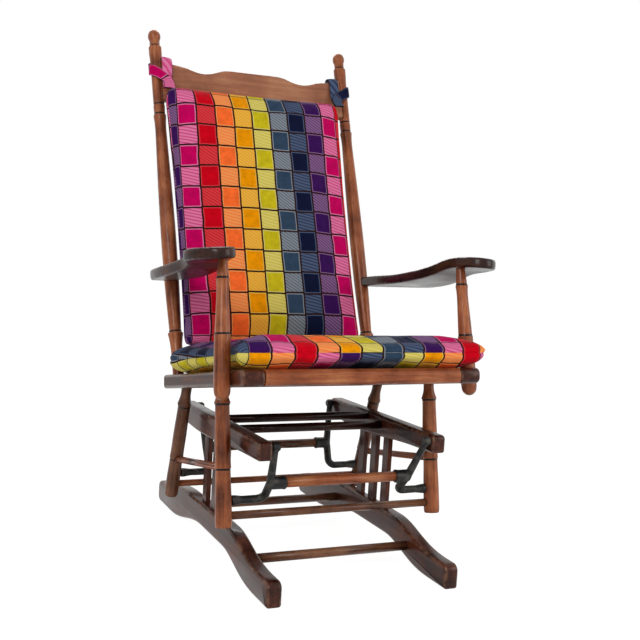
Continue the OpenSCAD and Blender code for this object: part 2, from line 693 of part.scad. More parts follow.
// A rod across the base, with its ends turned down where they enter the boards
module rod(y, z, diameter) {
    color(pale_wood) standing() {
        x_bar(-base_half, base_half, y, z, diameter);
        x_bar(-base_half - rod_end_depth, base_half + rod_end_depth, y, z, rod_end_diameter);
    }
}

// Middle of a hanger's dowel socket, as [y, z]. way is -1 on the front hangers and 1 on the rear ones.
function socket_point(high, low, way) =
    let (down = unit(low - high)) high + down * socket_drop + way * socket_bow * [-down[1], down[0]];

// The short round knob that two stretches of a hanger's bar run into
module hanger_knob(middle) {
    half = knob_diameter / 2;
    x_bar(middle[0] - half, middle[0] + half, middle[1], middle[2], knob_diameter);
}

module hanger(high, low, way, leg_face) {
    socket = socket_point(high, low, way);
    end_x = leg_face - slide_gap;
    elbow = [elbow_x, low[0], low[1]];
    boss = [socket_back_x, socket[0], socket[1]];
    difference() {
        union() {
            x_bar(ear_middle - ear_width / 2, ear_middle + ear_width / 2, high[0], high[1], ear_diameter);
            round_bar([bar_top_x, high[0], high[1]], boss, hanger_bar_diameter);
            x_bar(socket_end_x, socket_back_x, socket[0], socket[1], socket_diameter);
            round_bar(boss, elbow, hanger_bar_diameter);
            hanger_knob(boss);
            hanger_knob(elbow);
            x_bar(elbow_x, end_x - collar_length / 2, low[0], low[1], lower_arm_diameter);
            x_bar(end_x - collar_length, end_x, low[0], low[1], collar_diameter);
        }
        x_bar(ear_middle - ear_width, base_half, high[0], high[1], upper_pin_diameter + 2 * pin_gap);
        x_bar(
            ear_middle - ear_width / 2 - ear_diameter, ear_middle - ear_width / 2 + head_seat,
            high[0], high[1], pin_head_diameter + 2 * slide_gap);
        x_bar(
            socket_end_x - overrun, socket_end_x + socket_depth,
            socket[0], socket[1], dowel_diameter + 2 * joint_gap);
        x_bar(
            end_x - lower_pin_grip, end_x + overrun,
            low[0], low[1], lower_pin_diameter + 2 * pin_gap);
    }
}

module front_hanger(way) {
    color(iron) standing() on_side(way) hanger(front_high_pivot, front_low_pivot, -1, front_leg_face);
}

module rear_hanger(way) {
    color(iron) standing() on_side(way) hanger(rear_high_pivot, rear_low_pivot, 1, rear_leg_face);
}

module dowel(point) {
    reach = socket_end_x + socket_depth;
    color(pale_wood) standing() x_bar(-reach, reach, point[0], point[1], dowel_diameter);
}

// An upper pin: its head lies inside the ear, and its shank ends in the top rail
module upper_pin(pivot, way) {
    head_face = ear_middle - ear_width / 2 - head_gap;
    color(iron) standing() on_side(way) {
        x_bar(head_face - pin_head_height, head_face, pivot[0], pivot[1], pin_head_diameter);
        x_bar(head_face, base_half + upper_pin_depth, pivot[0], pivot[1], upper_pin_diameter);
    }
}

module lower_pin(pivot, leg_face, reach, way) {
    start = leg_face - slide_gap - lower_pin_grip + head_gap;
    color(iron) standing() on_side(way)
        x_bar(start, leg_face + reach, pivot[0], pivot[1], lower_pin_diameter);
}

// The seat frame
module side_rail(way) {
    low_front = [-seat_front, -seat_frame_thickness];
    high_front = [-seat_front, 0];
    low_rear = [seat_rear, -seat_frame_thickness];
    high_rear = [seat_rear, 0];
    color(wood) chair() on_side(way) difference() {
        x_board(seat_half, side_rail_outside) polygon(concat(
            corner(high_front, low_front, low_rear, nose_radius),
            corner(low_front, low_rear, high_rear, rear_nose_radius),
            corner(low_rear, high_rear, high_front, rear_nose_radius),
            corner(high_rear, high_front, low_front, nose_radius)
        ));
        rail_tenon(front_rail_width / 2 - seat_front, front_rail_width, joint_gap);
        rail_tenon(rear_rail_front + rear_rail_width / 2, rear_rail_width, joint_gap);
        seat_board_shape(joint_gap);
        front_leg_tenon(joint_gap);
        rear_leg_tenon(joint_gap);
        translate([0, back_post_place, 0]) rotate([-back_lean, 0, 0]) back_post_foot(joint_gap);
    }
}

// The stub tenons on the ends of a cross rail
module rail_tenon(y, width, gap) {
    high = -seat_board_thickness - (seat_frame_thickness - seat_board_thickness - rail_tenon_thickness) / 2;
    wide = width - 2 * tenon_inset;
    translate([
        -seat_half - rail_tenon_length, y - wide / 2 - gap, high - rail_tenon_thickness - gap
    ]) cube([2 * (seat_half + rail_tenon_length), wide + 2 * gap, rail_tenon_thickness + 2 * gap]);
}

module front_seat_rail() {
    back = front_rail_width - seat_front;
    high_front = [-seat_front, 0];
    low_front = [-seat_front, -seat_frame_thickness];
    color(pale_wood) chair() difference() {
        union() {
            x_board(-seat_half, seat_half) polygon(concat(
                corner(high_front, low_front, [back, -seat_frame_thickness], nose_radius),
                [[back, -seat_frame_thickness], [back, 0]],
                corner([back, 0], high_front, low_front, nose_radius)
            ));
            rail_tenon(front_rail_width / 2 - seat_front, front_rail_width, 0);
        }
        seat_board_shape(joint_gap);
    }
}

module rear_seat_rail() {
    color(wood) chair() difference() {
        union() {
            translate([-seat_half, rear_rail_front, -seat_frame_thickness])
                cube([seat_inner_width, rear_rail_width, seat_frame_thickness]);
            rail_tenon(rear_rail_front + rear_rail_width / 2, rear_rail_width, 0);
        }
        seat_board_shape(joint_gap);
        translate([0, back_post_place, 0]) rotate([-back_lean, 0, 0])
            for (i = [1 : spindle_count]) spindle_end_holes(i);
    }
}

// The board that carries the seat cushion lies on a ledge cut round the inside of the frame
module seat_board_shape(gap) {
    front = front_rail_width - seat_front - board_ledge;
    rear = rear_rail_front + board_ledge;
    half = seat_half + board_ledge;
    translate([-half - gap, front - gap, -seat_board_thickness - gap])
        cube([2 * (half + gap), rear - front + 2 * gap, seat_board_thickness + (gap > 0 ? overrun : 0)]);
}

module seat_board() { color(pale_wood) chair() seat_board_shape(0); }

// The legs. Their tops are given in the seat frame, and the Z axis runs down the leg.
module front_leg_frame() {
    translate([front_leg_spread, -front_leg_place, -seat_frame_thickness]) rotate([180, 0, 0]) children();
}

module rear_leg_frame() {
    translate([rear_leg_spread, rear_leg_place, -seat_frame_thickness])
        rotate([180 + rear_leg_lean, 0, 0]) children();
}

module front_leg_tenon(gap) {
    neck = front_leg_diameter * leg_neck_share;
    front_leg_frame() translate([0, 0, -leg_tenon])
        cylinder(h = leg_tenon + (gap > 0 ? overrun : 0), d = neck + 2 * gap);
}

module rear_leg_tenon(gap) {
    neck = rear_leg_diameter * rear_leg_neck_share;
    front_slope = neck * tan(rear_leg_lean);
    rear_leg_frame() translate([0, 0, -leg_tenon])
        cylinder(h = leg_tenon + (gap > 0 ? front_slope : 0), d = neck + 2 * gap);
}

module front_leg(way) {
    color(wood) chair() on_side(way) difference() {
        union() {
            front_leg_frame() turned(front_leg_shares, front_leg_length, front_leg_diameter);
            front_leg_tenon(0);
        }
        side_stretcher_shape(joint_gap);
        front_stretcher_shape(joint_gap);
        x_bar(
            front_leg_face - overrun, front_leg_face + leg_pin_depth,
            -front_leg_place, -front_pivot_drop, lower_pin_diameter + 2 * joint_gap);
    }
}

module rear_leg(way) {
    color(wood) chair() on_side(way) difference() {
        union() {
            rear_leg_frame() turned(rear_leg_shares, rear_leg_length, rear_leg_diameter);
            rear_leg_tenon(0);
        }
        side_stretcher_shape(joint_gap);
        rear_stretcher_shape(joint_gap);
    }
}

// Where a rear leg's axis is at a distance below the top of the seat frame
function rear_leg_y(drop) = rear_leg_place + (drop - seat_frame_thickness) * tan(rear_leg_lean);

// The stretchers reach past the legs' near faces by their depth
module side_stretcher_shape(gap) {
    spread = (front_leg_spread + rear_leg_spread) / 2;
    front = -front_leg_place + front_leg_diameter / 2 - stretcher_depth;
    rear = rear_leg_y(side_stretcher_drop) - rear_leg_diameter / 2 / cos(rear_leg_lean) + stretcher_depth;
    translate([spread, front, -side_stretcher_drop]) rotate([-90, 0, 0])
        cylinder(h = rear - front, d = side_stretcher_diameter + 2 * gap);
}

module front_stretcher_shape(gap) {
    reach = front_leg_spread - front_leg_diameter / 2 + stretcher_depth;
    x_bar(-reach, reach, -front_leg_place, -front_stretcher_drop, front_stretcher_diameter + 2 * gap);
}

module rear_stretcher_shape(gap) {
    reach = rear_leg_spread - rear_leg_diameter / 2 + stretcher_depth;
    x_bar(
        -reach, reach,
        rear_leg_y(rear_stretcher_drop), -rear_stretcher_drop, rear_stretcher_diameter + 2 * gap);
}

module side_stretcher(way) { color(wood) chair() on_side(way) side_stretcher_shape(0); }
module front_stretcher() { color(wood) chair() front_stretcher_shape(0); }
module rear_stretcher() { color(wood) chair() rear_stretcher_shape(0); }

// The arm posts stand on the outside of the side rails, with a flat against them
module arm_post_frame() {
    translate([arm_post_x, -arm_post_place, -seat_frame_thickness / 2])
        rotate([-arm_post_lean, 0, 0]) rotate([0, -arm_post_splay, 0])
        translate([0, 0, seat_frame_thickness / 2 - arm_post_drop]) children();
}

module arm_post(way) {
    color(wood) chair() on_side(way) difference() {
        arm_post_frame() turned(arm_post_shares, arm_post_length, arm_post_diameter);
        translate([0, -seat_front, -seat_frame_thickness - joint_gap])
            cube([side_rail_outside, side_rail_length, seat_frame_thickness + 2 * joint_gap]);
    }
}

// An arm is turned about its inner edge
module rolled_arm() {
    translate([arm_inner_x, 0, arm_height]) rotate([0, arm_roll, 0])
        translate([-arm_inner_x, 0, -arm_height]) children();
}

module arm(way) {
    plan = curve([for (p = arm_plan_shares)
        [arm_inner_x + p[0] * arm_width, arm_front_y + p[1] * arm_length]]);
    top = curve([for (p = arm_top_shares)
        [arm_front_y + p[0] * arm_length, arm_height - arm_dip * (1 - p[1])]]);
    under = [for (i = [len(top) - 1 : -1 : 0]) top[i] - [0, arm_thickness]];
    color(wood) chair() on_side(way) difference() {
        rolled_arm() intersection() {
            translate([0, 0, arm_height - arm_dip - arm_thickness - overrun])
                linear_extrude(arm_thickness + 2 * arm_dip + 2 * overrun) polygon(plan);
            x_board(arm_inner_x - overrun, arm_inner_x + arm_width + overrun) polygon(concat(top, under));
        }
        arm_post_frame() translate([0, 0, arm_post_length - 3 * arm_post_tenon]) cylinder(
            h = 3 * arm_post_tenon, d = arm_post_diameter * arm_post_neck_share + 2 * joint_gap);
        translate([0, back_post_place, 0]) rotate([-back_lean, 0, 0]) back_post_shape(joint_gap);
    }
}

// The back. Its parts are drawn in the plane of the posts, with Z up the posts.
module back_post_frame() { translate([back_post_spread, 0, 0]) rotate([0, back_post_splay, 0]) children(); }

module back_post_foot(gap) {
    neck = back_post_diameter * back_post_neck_share;
    back_post_frame() translate([0, 0, -back_post_tenon])
        cylinder(h = back_post_tenon + (gap > 0 ? overrun : 0), d = neck + 2 * gap);
}

module back_post_shape(gap) {
    back_post_frame() {
        turned(back_post_shares, back_post_length - finial_height, back_post_diameter + 2 * gap);
        finial();
    }
}

// An egg on a short neck
module finial() {
    neck = back_post_diameter / 2 * back_post_shares[6][3][1];
    translate([0, 0, back_post_length - finial_height / 2]) rotate_extrude() polygon([
        for (i = [0 : finial_steps]) let (a = 180 * i / finial_steps - 90)
            [max(cos(a), 0) * finial_diameter / 2, sin(a) * finial_height / 2]
    ]);
    translate([0, 0, back_post_length - finial_height * finial_foot_share])
        cylinder(h = finial_height * finial_neck_share, r = neck);
}

module back_post(way) {
    color(wood) back_plane() on_side(way) difference() {
        union() {
            back_post_shape(0);
            back_post_foot(0);
        }
        crest_shape(joint_gap);
    }
}

// The crest rail, with a gap round its ends where the posts take them
module crest_shape(gap) {
    middle = crest_low + crest_height;
    scallop = curve([for (p = crest_top_shares) [p[0] * crest_half, middle + p[1] * crest_ear_rise]]);
    ear = curve([for (p = crest_ear_shares) [p[0] * crest_half, middle + p[1] * crest_ear_rise]]);
    right = concat([[0, middle]], [for (i = [1 : len(scallop) - 1]) scallop[i]], ear);
    left = [for (i = [len(right) - 1 : -1 : 1]) [-right[i][0], right[i][1]]];
    last = right[len(right) - 1];
    low = crest_low - gap;
    outline = concat(
        right, [[last[0], last[1] + gap], [last[0] + gap, last[1] + gap], [last[0] + gap, low],
        [-last[0] - gap, low], [-last[0] - gap, last[1] + gap], [-last[0], last[1] + gap]], left);
    plain = concat(right, [[last[0], crest_low], [-last[0], crest_low]], left);
    translate([0, crest_thickness / 2 + gap, 0]) rotate([90, 0, 0])
        linear_extrude(crest_thickness + 2 * gap) polygon(gap > 0 ? outline : plain);
}

module crest_rail() {
    color(wood) back_plane() difference() {
        crest_shape(0);
        for (i = [1 : spindle_count]) spindle_end_holes(i);
    }
}

function spindle_x(index) = (index - (spindle_count + 1) / 2) * spindle_pitch;

module spindle_end_holes(index) {
    reach = crest_low + 2 * spindle_tenon;
    translate([spindle_x(index), 0, -spindle_tenon])
        cylinder(h = reach, d = spindle_end_diameter + 2 * joint_gap);
}

module spindle(index) {
    color(wood) back_plane() translate([spindle_x(index), 0, 0]) {
        turned([spindle_shares], crest_low, spindle_diameter);
        translate([0, 0, -spindle_tenon])
            cylinder(h = crest_low + 2 * spindle_tenon, d = spindle_end_diameter);
    }
}

// The cushions
module seat_cushion() {
    color(cloth) chair() translate([0, 0, soft_gap]) cushion(
        seat_cushion_shares, seat_edge_shares, seat_cushion_half_width,
        seat_cushion_rear, -(seat_cushion_rear + seat_cushion_front), seat_cushion_thickness);
}

module back_cushion() {
    color(cloth) back_plane() translate([-back_cushion_shift, -back_cushion_stand, 0])
        rotate([90, 0, 0]) cushion(
            back_cushion_shares, back_edge_shares, back_cushion_half_width,
            back_cushion_low, back_cushion_length, back_cushion_thickness);
}

// A tie: a loop of cloth round the post, a strap down its front and a tab on the cushion's upper end
module tie(way) {
    post_x = post_axis_x(tie_ring_low);
    ring_outside = tie_ring_inside + tie_thickness;
    cushion_top = back_cushion_low + back_cushion_length + soft_gap;
    tab_x = tie_foot_x - way * back_cushion_shift;
    tab_front = -back_cushion_stand - back_cushion_thickness * tie_tab_share;
    color(tie_cloth) back_plane() on_side(way) {
        translate([post_x, 0, tie_ring_low]) rotate_extrude()
            translate([tie_ring_inside, 0]) square([tie_thickness, tie_ring_height]);
        translate([0, -tie_ring_inside, 0]) rotate([90, 0, 0]) linear_extrude(tie_thickness) polygon([
            [post_x - tie_width / 2, tie_ring_low + tie_ring_height / 2],
            [post_x + tie_width / 4, tie_ring_low + tie_ring_height / 2],
            [tab_x + tie_width / 2, cushion_top],
            [tab_x - tie_width / 2, cushion_top]
        ]);
        translate([tab_x - tie_width / 2, tab_front, cushion_top])
            cube([tie_width, -tie_ring_inside - tab_front, tie_thickness]);
    }
}
runner(-1);  // runner_left
runner(1);  // runner_right
top_rail(-1);  // top_rail_left
top_rail(1);  // top_rail_right
slat(-1, 0);  // slat_left_front
slat(-1, 1);  // slat_left_middle
slat(-1, 2);  // slat_left_rear
slat(1, 0);  // slat_right_front
slat(1, 1);  // slat_right_middle
slat(1, 2);  // slat_right_rear
rod(-upper_rod_front_place, rail_top(-upper_rod_front_place) - upper_rod_front_drop, upper_rod_diameter);  // upper_rod_front
rod(upper_rod_rear_place, rail_top(upper_rod_rear_place) - upper_rod_rear_drop, upper_rod_diameter);  // upper_rod_rear
rod(-lower_rod_front_place, lower_rod_z(-lower_rod_front_place), lower_rod_diameter);  // lower_rod_front
rod(lower_rod_rear_place, lower_rod_z(lower_rod_rear_place), lower_rod_diameter);  // lower_rod_rear
front_hanger(-1);  // front_hanger_left
front_hanger(1);  // front_hanger_right
dowel(socket_point(front_high_pivot, front_low_pivot, -1));  // front_dowel
rear_hanger(-1);  // rear_hanger_left
rear_hanger(1);  // rear_hanger_right
dowel(socket_point(rear_high_pivot, rear_low_pivot, 1));  // rear_dowel
upper_pin(front_high_pivot, -1);  // front_upper_pin_left
upper_pin(front_high_pivot, 1);  // front_upper_pin_right
upper_pin(rear_high_pivot, -1);  // rear_upper_pin_left
upper_pin(rear_high_pivot, 1);  // rear_upper_pin_right
lower_pin(front_low_pivot, front_leg_face, leg_pin_depth, -1);  // front_lower_pin_left
lower_pin(front_low_pivot, front_leg_face, leg_pin_depth, 1);  // front_lower_pin_right
lower_pin(rear_low_pivot, rear_leg_face, -head_gap, -1);  // rear_lower_pin_left
lower_pin(rear_low_pivot, rear_leg_face, -head_gap, 1);  // rear_lower_pin_right
side_rail(-1);  // side_rail_left
side_rail(1);  // side_rail_right
front_seat_rail();
rear_seat_rail();
seat_board();
front_leg(-1);  // front_leg_left
front_leg(1);  // front_leg_right
rear_leg(-1);  // rear_leg_left
rear_leg(1);  // rear_leg_right
side_stretcher(-1);  // side_stretcher_left
side_stretcher(1);  // side_stretcher_right
front_stretcher();
rear_stretcher();
arm_post(-1);  // arm_post_left
arm_post(1);  // arm_post_right
arm(-1);  // arm_left
arm(1);  // arm_right
back_post(-1);  // back_post_left
back_post(1);  // back_post_right
crest_rail();
spindle(1);  // spindle_1
spindle(2);  // spindle_2
spindle(3);  // spindle_3
spindle(4);  // spindle_4
spindle(5);  // spindle_5
seat_cushion();
back_cushion();
tie(-1);  // tie_left
tie(1);  // tie_right
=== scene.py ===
import functools
import math

import bpy
from mathutils import Euler, Matrix, Vector


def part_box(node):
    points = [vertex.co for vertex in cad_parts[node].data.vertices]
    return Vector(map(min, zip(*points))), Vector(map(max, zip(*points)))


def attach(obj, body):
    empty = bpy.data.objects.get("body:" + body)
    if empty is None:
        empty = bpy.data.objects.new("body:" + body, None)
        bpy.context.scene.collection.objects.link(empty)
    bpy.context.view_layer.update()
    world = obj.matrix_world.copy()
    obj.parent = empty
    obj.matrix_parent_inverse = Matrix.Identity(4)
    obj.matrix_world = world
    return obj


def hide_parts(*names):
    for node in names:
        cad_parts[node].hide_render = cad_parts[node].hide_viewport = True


bl_info = {
    "name": "Platform rocker",
    "version": (1, 0, 0),
    "blender": (4, 5, 0),
    "location": "View3D > Sidebar > Rocker",
    "description": "Finishes a wooden platform rocker with grid-pattern cushions on its packed frame",
    "category": "Object",
}

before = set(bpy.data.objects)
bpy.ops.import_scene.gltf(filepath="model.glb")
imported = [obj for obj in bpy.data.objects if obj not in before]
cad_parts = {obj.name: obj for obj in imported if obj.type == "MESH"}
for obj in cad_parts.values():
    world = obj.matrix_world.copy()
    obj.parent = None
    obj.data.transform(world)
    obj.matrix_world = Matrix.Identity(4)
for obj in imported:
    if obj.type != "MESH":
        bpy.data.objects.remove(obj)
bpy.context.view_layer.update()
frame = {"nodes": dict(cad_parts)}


def linear(code):
    """An sRGB hex colour as linear red, green and blue."""
    shares = [int(code[i:i + 2], 16) / 255 for i in (1, 3, 5)]
    return tuple(c / 12.92 if c <= 0.04045 else ((c + 0.055) / 1.055) ** 2.4 for c in shares)


def colour_property(name, description, code):
    return bpy.props.FloatVectorProperty(
        name=name, description=description, default=linear(code), size=3, min=0, max=1, subtype="COLOR")


def length_property(name, description, metres):
    return bpy.props.FloatProperty(
        name=name, description=description, default=metres, min=0, subtype="DISTANCE", unit="LENGTH")


def angle_property(name, description, degrees):
    return bpy.props.FloatProperty(
        name=name, description=description, default=math.radians(degrees), subtype="ANGLE", unit="ROTATION")


class StageSettings(bpy.types.PropertyGroup):
    """Camera, lamps and floor"""
    camera_place: bpy.props.FloatVectorProperty(
        name="Camera place", description="Where the camera stands", default=(-0.85748, -2.00799, 0.68817),
        size=3, subtype="TRANSLATION", unit="LENGTH")
    camera_azimuth: angle_property("Camera azimuth", "Turn of the camera about the vertical", -24.416)
    camera_drop: angle_property("Camera drop", "Angle that the camera looks down at", 5.757)
    camera_roll: angle_property("Camera roll", "Tilt of the camera about its line of sight", 3.387)
    camera_lens: bpy.props.FloatProperty(
        name="Lens", description="Focal length for a sensor 36 mm wide", default=58.23, min=1, unit="CAMERA")
    floor_size: length_property("Floor size", "Side of the square floor", 14.0)
    floor_colour: colour_property("Floor colour", "Pale matt floor", "#f4f2ef")
    floor_glow: bpy.props.FloatProperty(
        name="Floor glow", description="Brightness of the floor's glow to the camera", default=1.12, min=0)
    floor_glow_share: bpy.props.FloatProperty(
        name="Floor glow share", description="Share of the glow in the floor's look", default=0.85,
        min=0, max=1, subtype="FACTOR")
    sky_colour: colour_property("Sky colour", "Soft light from all sides", "#ffffff")
    sky_strength: bpy.props.FloatProperty(
        name="Sky strength", description="Brightness of the light from all sides", default=0.42, min=0)


class WoodSettings(bpy.types.PropertyGroup):
    """Stained and lacquered hardwood"""
    rubbed_colour: colour_property("Rubbed edge", "Edges rubbed bare", "#7d5a46")
    ring_colour: colour_property("Ring paint", "Black paint in the turned rings", "#140a08")
    ring_width: length_property("Ring width", "Width of a painted ring", 0.0038)
    board_edge: length_property("Board edge", "Radius of the edges of the boards", 0.0065)
    arm_thickness: length_property("Arm thickness", "Thickness of an arm's board", 0.0185)
    arm_roll: angle_property("Arm roll", "Roll of an arm with its outer edge down", 4.0)
    board_corner: length_property("Board corner", "Radius of the runners' and top rails' corners", 0.009)
    crest_edge: length_property("Crest edge", "Radius of the edges of the crest rail", 0.0045)


# Stain of each kind of wood piece: in its pores, over most of it, and where it is thin. Some of these stains
# also paint light and shade: the arm stain is darker for painted shade, the crest stain is paler for painted
# light, and the rod and arm stains paint shade on the rear legs and the upper rods.
STAINS = {
    "leg": ("turned pieces", "#42190c", "#92502f", "#c27a4f"),
    "board": ("boards", "#190905", "#431e12", "#653623"),
    # The arms' stain is darker than their wood: painted shade and painted dark reflection on their tops
    "arm": ("arms", "#0f0604", "#2c130b", "#4f2716"),
    # The crest rail's stain is paler than its wood: painted light and painted white reflection from the front
    "crest": ("crest rail", "#845139", "#a0664a", "#b37e5c"),
    "rod": ("rods", "#2a120a", "#66402c", "#8d6246"),
    "dowel": ("dowels", "#5a2812", "#955130", "#bd7c4e"),
}
DEPTHS = {"deep": "in the pores", "middle": "over most", "light": "on the thinly stained parts"}
for kind, (words, *codes) in STAINS.items():
    for (depth, where), code in zip(DEPTHS.items(), codes):
        WoodSettings.__annotations__[f"{kind}_{depth}"] = colour_property(
            f"{kind.title()} {depth}", f"Stain {where} of the {words}", code)


class IronSettings(bpy.types.PropertyGroup):
    """Blackened cast iron"""
    face_colour: colour_property("Iron", "Oiled black skin of the castings", "#171818")
    worn_colour: colour_property("Worn iron", "Where the skin is rubbed or dusty", "#4b4842")
    bar_width: length_property("Bar", "Width of a hanger's bar under its ear", 0.0125)
    bend_width: length_property("Bend", "Width of a hanger at its lower bend", 0.0165)
    bend_radius: length_property("Bend reach", "From the bend's corner to its ends", 0.015)
    ear_width: length_property("Ear", "Diameter of the ear round the upper pin", 0.018)
    ear_depth: length_property("Ear depth", "Length of the ear along the upper pin", 0.011)
    socket_width: length_property("Socket", "Diameter of the dowel socket", 0.0245)
    lip_width: length_property("Socket lip", "Diameter of the socket's lip", 0.0262)
    collar_width: length_property("Collar", "Diameter of the lower arm's end", 0.019)
    grain: length_property("Casting grain", "Size of the casting's finest shape", 0.0013)


class ClothSettings(bpy.types.PropertyGroup):
    """Grid cloth of velvet and woven squares"""
    column_width: length_property("Column", "Width of a column of squares", 0.0435)
    velvet_height: length_property("Velvet square", "Height of a velvet square", 0.0505)
    woven_height: length_property("Woven square", "Height of a woven square", 0.0458)
    line_width: length_property("Line", "Width of the dark line round a square", 0.0034)
    border_width: length_property("Border", "Width of the light thread inside it", 0.0022)
    hatch_pitch: length_property("Hatching", "Distance between the ribs of a woven square", 0.0074)
    line_colour: colour_property("Line colour", "Ground thread between the squares", "#2a1511")
    tie_width: length_property("Tie", "Width of a tie's cloth band", 0.025)
    tie_thickness: length_property("Tie thickness", "Thickness of a tie's cloth band", 0.0024)


class RockerSettings(bpy.types.PropertyGroup):
    """All sizes and colours of the rocker's finish"""
    stage: bpy.props.PointerProperty(type=StageSettings)
    wood: bpy.props.PointerProperty(type=WoodSettings)
    iron: bpy.props.PointerProperty(type=IronSettings)
    cloth: bpy.props.PointerProperty(type=ClothSettings)
    seat_tilt: angle_property("Seat tilt", "Backward tilt of the seat frame", 10.5)
    back_lean: angle_property("Back lean", "Backward lean of the back from the seat frame", 11.07)
    rear_leg_lean: angle_property("Rear leg lean", "Backward lean of the rear legs from the seat frame", 28.3)


# Points closer than this, in metres, are one, and faces whose normals agree by this much lie one way
MERGE = 1e-5
LEVEL = 0.999
SIDES = {"left": -1, "right": 1}

# Places of the painted rings, in metres up from a turned piece's lower end, or negative from its top
RINGS = {
    "front_leg": (0.1081, 0.2292),
    "rear_leg": (0.0923, 0.2197),
    "arm_post": (0.1197, 0.2211),
    "back_post": (-0.0425, -0.1881, -0.2121, -0.7174),
}

# Velvet colours of the grid in their order across the cloth, and the woven squares between them
VELVETS = ("#c00058", "#c60018", "#f66a2c", "#e89200", "#c4b41a", "#2f4258", "#0e1430", "#361050")
WOVENS = ("#de7aa6", "#d23c42", "#f09a58", "#e8b448", "#d8ca72", "#868c94", "#4c5a76", "#845f88")

# Width over which a woven line fades, in metres
LINE_BLUR = 0.0004


def settings():
    return bpy.context.scene.rocker


def deselect():
    bpy.ops.object.select_all(action="DESELECT")


def lone(piece):
    """Selects one piece alone and makes it active."""
    deselect()
    piece.select_set(True)
    bpy.context.view_layer.objects.active = piece


def edit_mode():
    bpy.ops.object.mode_set(mode="EDIT")


def object_mode():
    bpy.ops.object.mode_set(mode="OBJECT")


def apply_modifier(piece, kind, **values):
    """Adds a modifier with these values and applies it."""
    lone(piece)
    modifier = piece.modifiers.new(kind.lower(), kind)
    for name, value in values.items():
        setattr(modifier, name, value)
    bpy.ops.object.modifier_apply(modifier=modifier.name)


def edit(piece, *steps):
    """Runs mesh operators on all of a piece in edit mode."""
    lone(piece)
    edit_mode()
    bpy.ops.mesh.select_all(action="SELECT")
    for step in steps:
        step()
    object_mode()


def merged_copy(node, name):
    """A copy of a node's mesh whose loose triangles are joined."""
    piece = bpy.data.objects.new(name, frame["nodes"][node].data.copy())
    bpy.context.scene.collection.objects.link(piece)
    edit(piece, lambda: bpy.ops.mesh.remove_doubles(threshold=MERGE))
    return piece


def keep_faces(piece, wanted):
    """Deletes the faces that wanted says no to."""
    lone(piece)
    edit_mode()
    bpy.ops.mesh.select_mode(type="FACE")
    object_mode()
    for polygon in piece.data.polygons:
        polygon.select = not wanted(polygon)
    edit_mode()
    bpy.ops.mesh.delete(type="FACE")
    object_mode()


def extent(piece, axis):
    reach = [vertex.co.dot(axis) for vertex in piece.data.vertices]
    return min(reach), max(reach)


def face_outwards(piece):
    edit(piece, lambda: bpy.ops.mesh.normals_make_consistent(inside=False))


def thicken(piece, shift):
    """Extrudes an open sheet by a shift into a closed solid."""
    edit(piece, lambda: bpy.ops.mesh.extrude_region_move(TRANSFORM_OT_translate={"value": shift}))
    face_outwards(piece)


def plane_axes(lean):
    """Across, along and outward axes of a plane that leans back by an angle from level."""
    return (
        Vector((1, 0, 0)),
        Vector((0, math.cos(lean), -math.sin(lean))),
        Vector((0, math.sin(lean), math.cos(lean))),
    )


def back_axes():
    """Across, upward and outward axes of the chair's back."""
    return plane_axes(settings().seat_tilt + settings().back_lean - math.pi / 2)


def rounded_board(node, outward, edge, corner=0):
    """A board cut again to the outline of its flat outer face, with rounded corners and edges."""
    piece = merged_copy(node, node + "_board")
    low, high = extent(piece, outward)
    keep_faces(
        piece, lambda face: face.normal.dot(outward) > LEVEL and face.center.dot(outward) > high - MERGE)
    edit(piece, lambda: bpy.ops.mesh.dissolve_limited(angle_limit=math.radians(0.05)))
    if corner:
        round_corners(piece, corner)
    thicken(piece, -outward * (high - low))
    apply_modifier(
        piece, "BEVEL", width=edge, segments=4, limit_method="ANGLE", angle_limit=math.radians(50),
        use_clamp_overlap=False, loop_slide=False)
    mark_worn(piece, outward, edge)
    smooth(piece, 35)
    return piece


def round_corners(piece, radius):
    """Rounds the sharp corners of a flat outline."""
    mesh = piece.data
    turns = {}
    for polygon in mesh.polygons:
        loop = list(polygon.vertices)
        for before, here, after in zip(loop[-1:] + loop[:-1], loop, loop[1:] + loop[:1]):
            first = mesh.vertices[here].co - mesh.vertices[before].co
            second = mesh.vertices[after].co - mesh.vertices[here].co
            turns[here] = first.angle(second, 0)
    lone(piece)
    edit_mode()
    bpy.ops.mesh.select_mode(type="VERT")
    bpy.ops.mesh.select_all(action="DESELECT")
    object_mode()
    for vertex in mesh.vertices:
        vertex.select = turns.get(vertex.index, 0) > math.radians(40)
    edit_mode()
    bpy.ops.mesh.bevel(offset=radius, segments=5, affect="VERTICES", clamp_overlap=True)
    bpy.ops.mesh.select_mode(type="FACE")
    object_mode()


def mark_worn(piece, outward, edge):
    """Stores 1 on the points of a board's rounded edges, where the lacquer rubs through, and 0 elsewhere."""
    low, high = extent(piece, outward)
    values = piece.data.attributes.new("worn", "FLOAT", "POINT").data
    for vertex, value in zip(piece.data.vertices, values):
        place = vertex.co.dot(outward)
        value.value = 1.0 if MERGE < min(place - low, high - place) < edge * 0.9 else 0.0


def smooth(piece, degrees):
    lone(piece)
    bpy.ops.object.shade_smooth_by_angle(angle=math.radians(degrees))


def dress(piece, material, body, slot, *nodes):
    """Gives a piece its one material, sets it on a body and lets it stand for nodes. slot is not used."""
    piece.data.materials.clear()
    piece.data.materials.append(material)
    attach(piece, body)
    if nodes:
        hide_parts(*nodes)


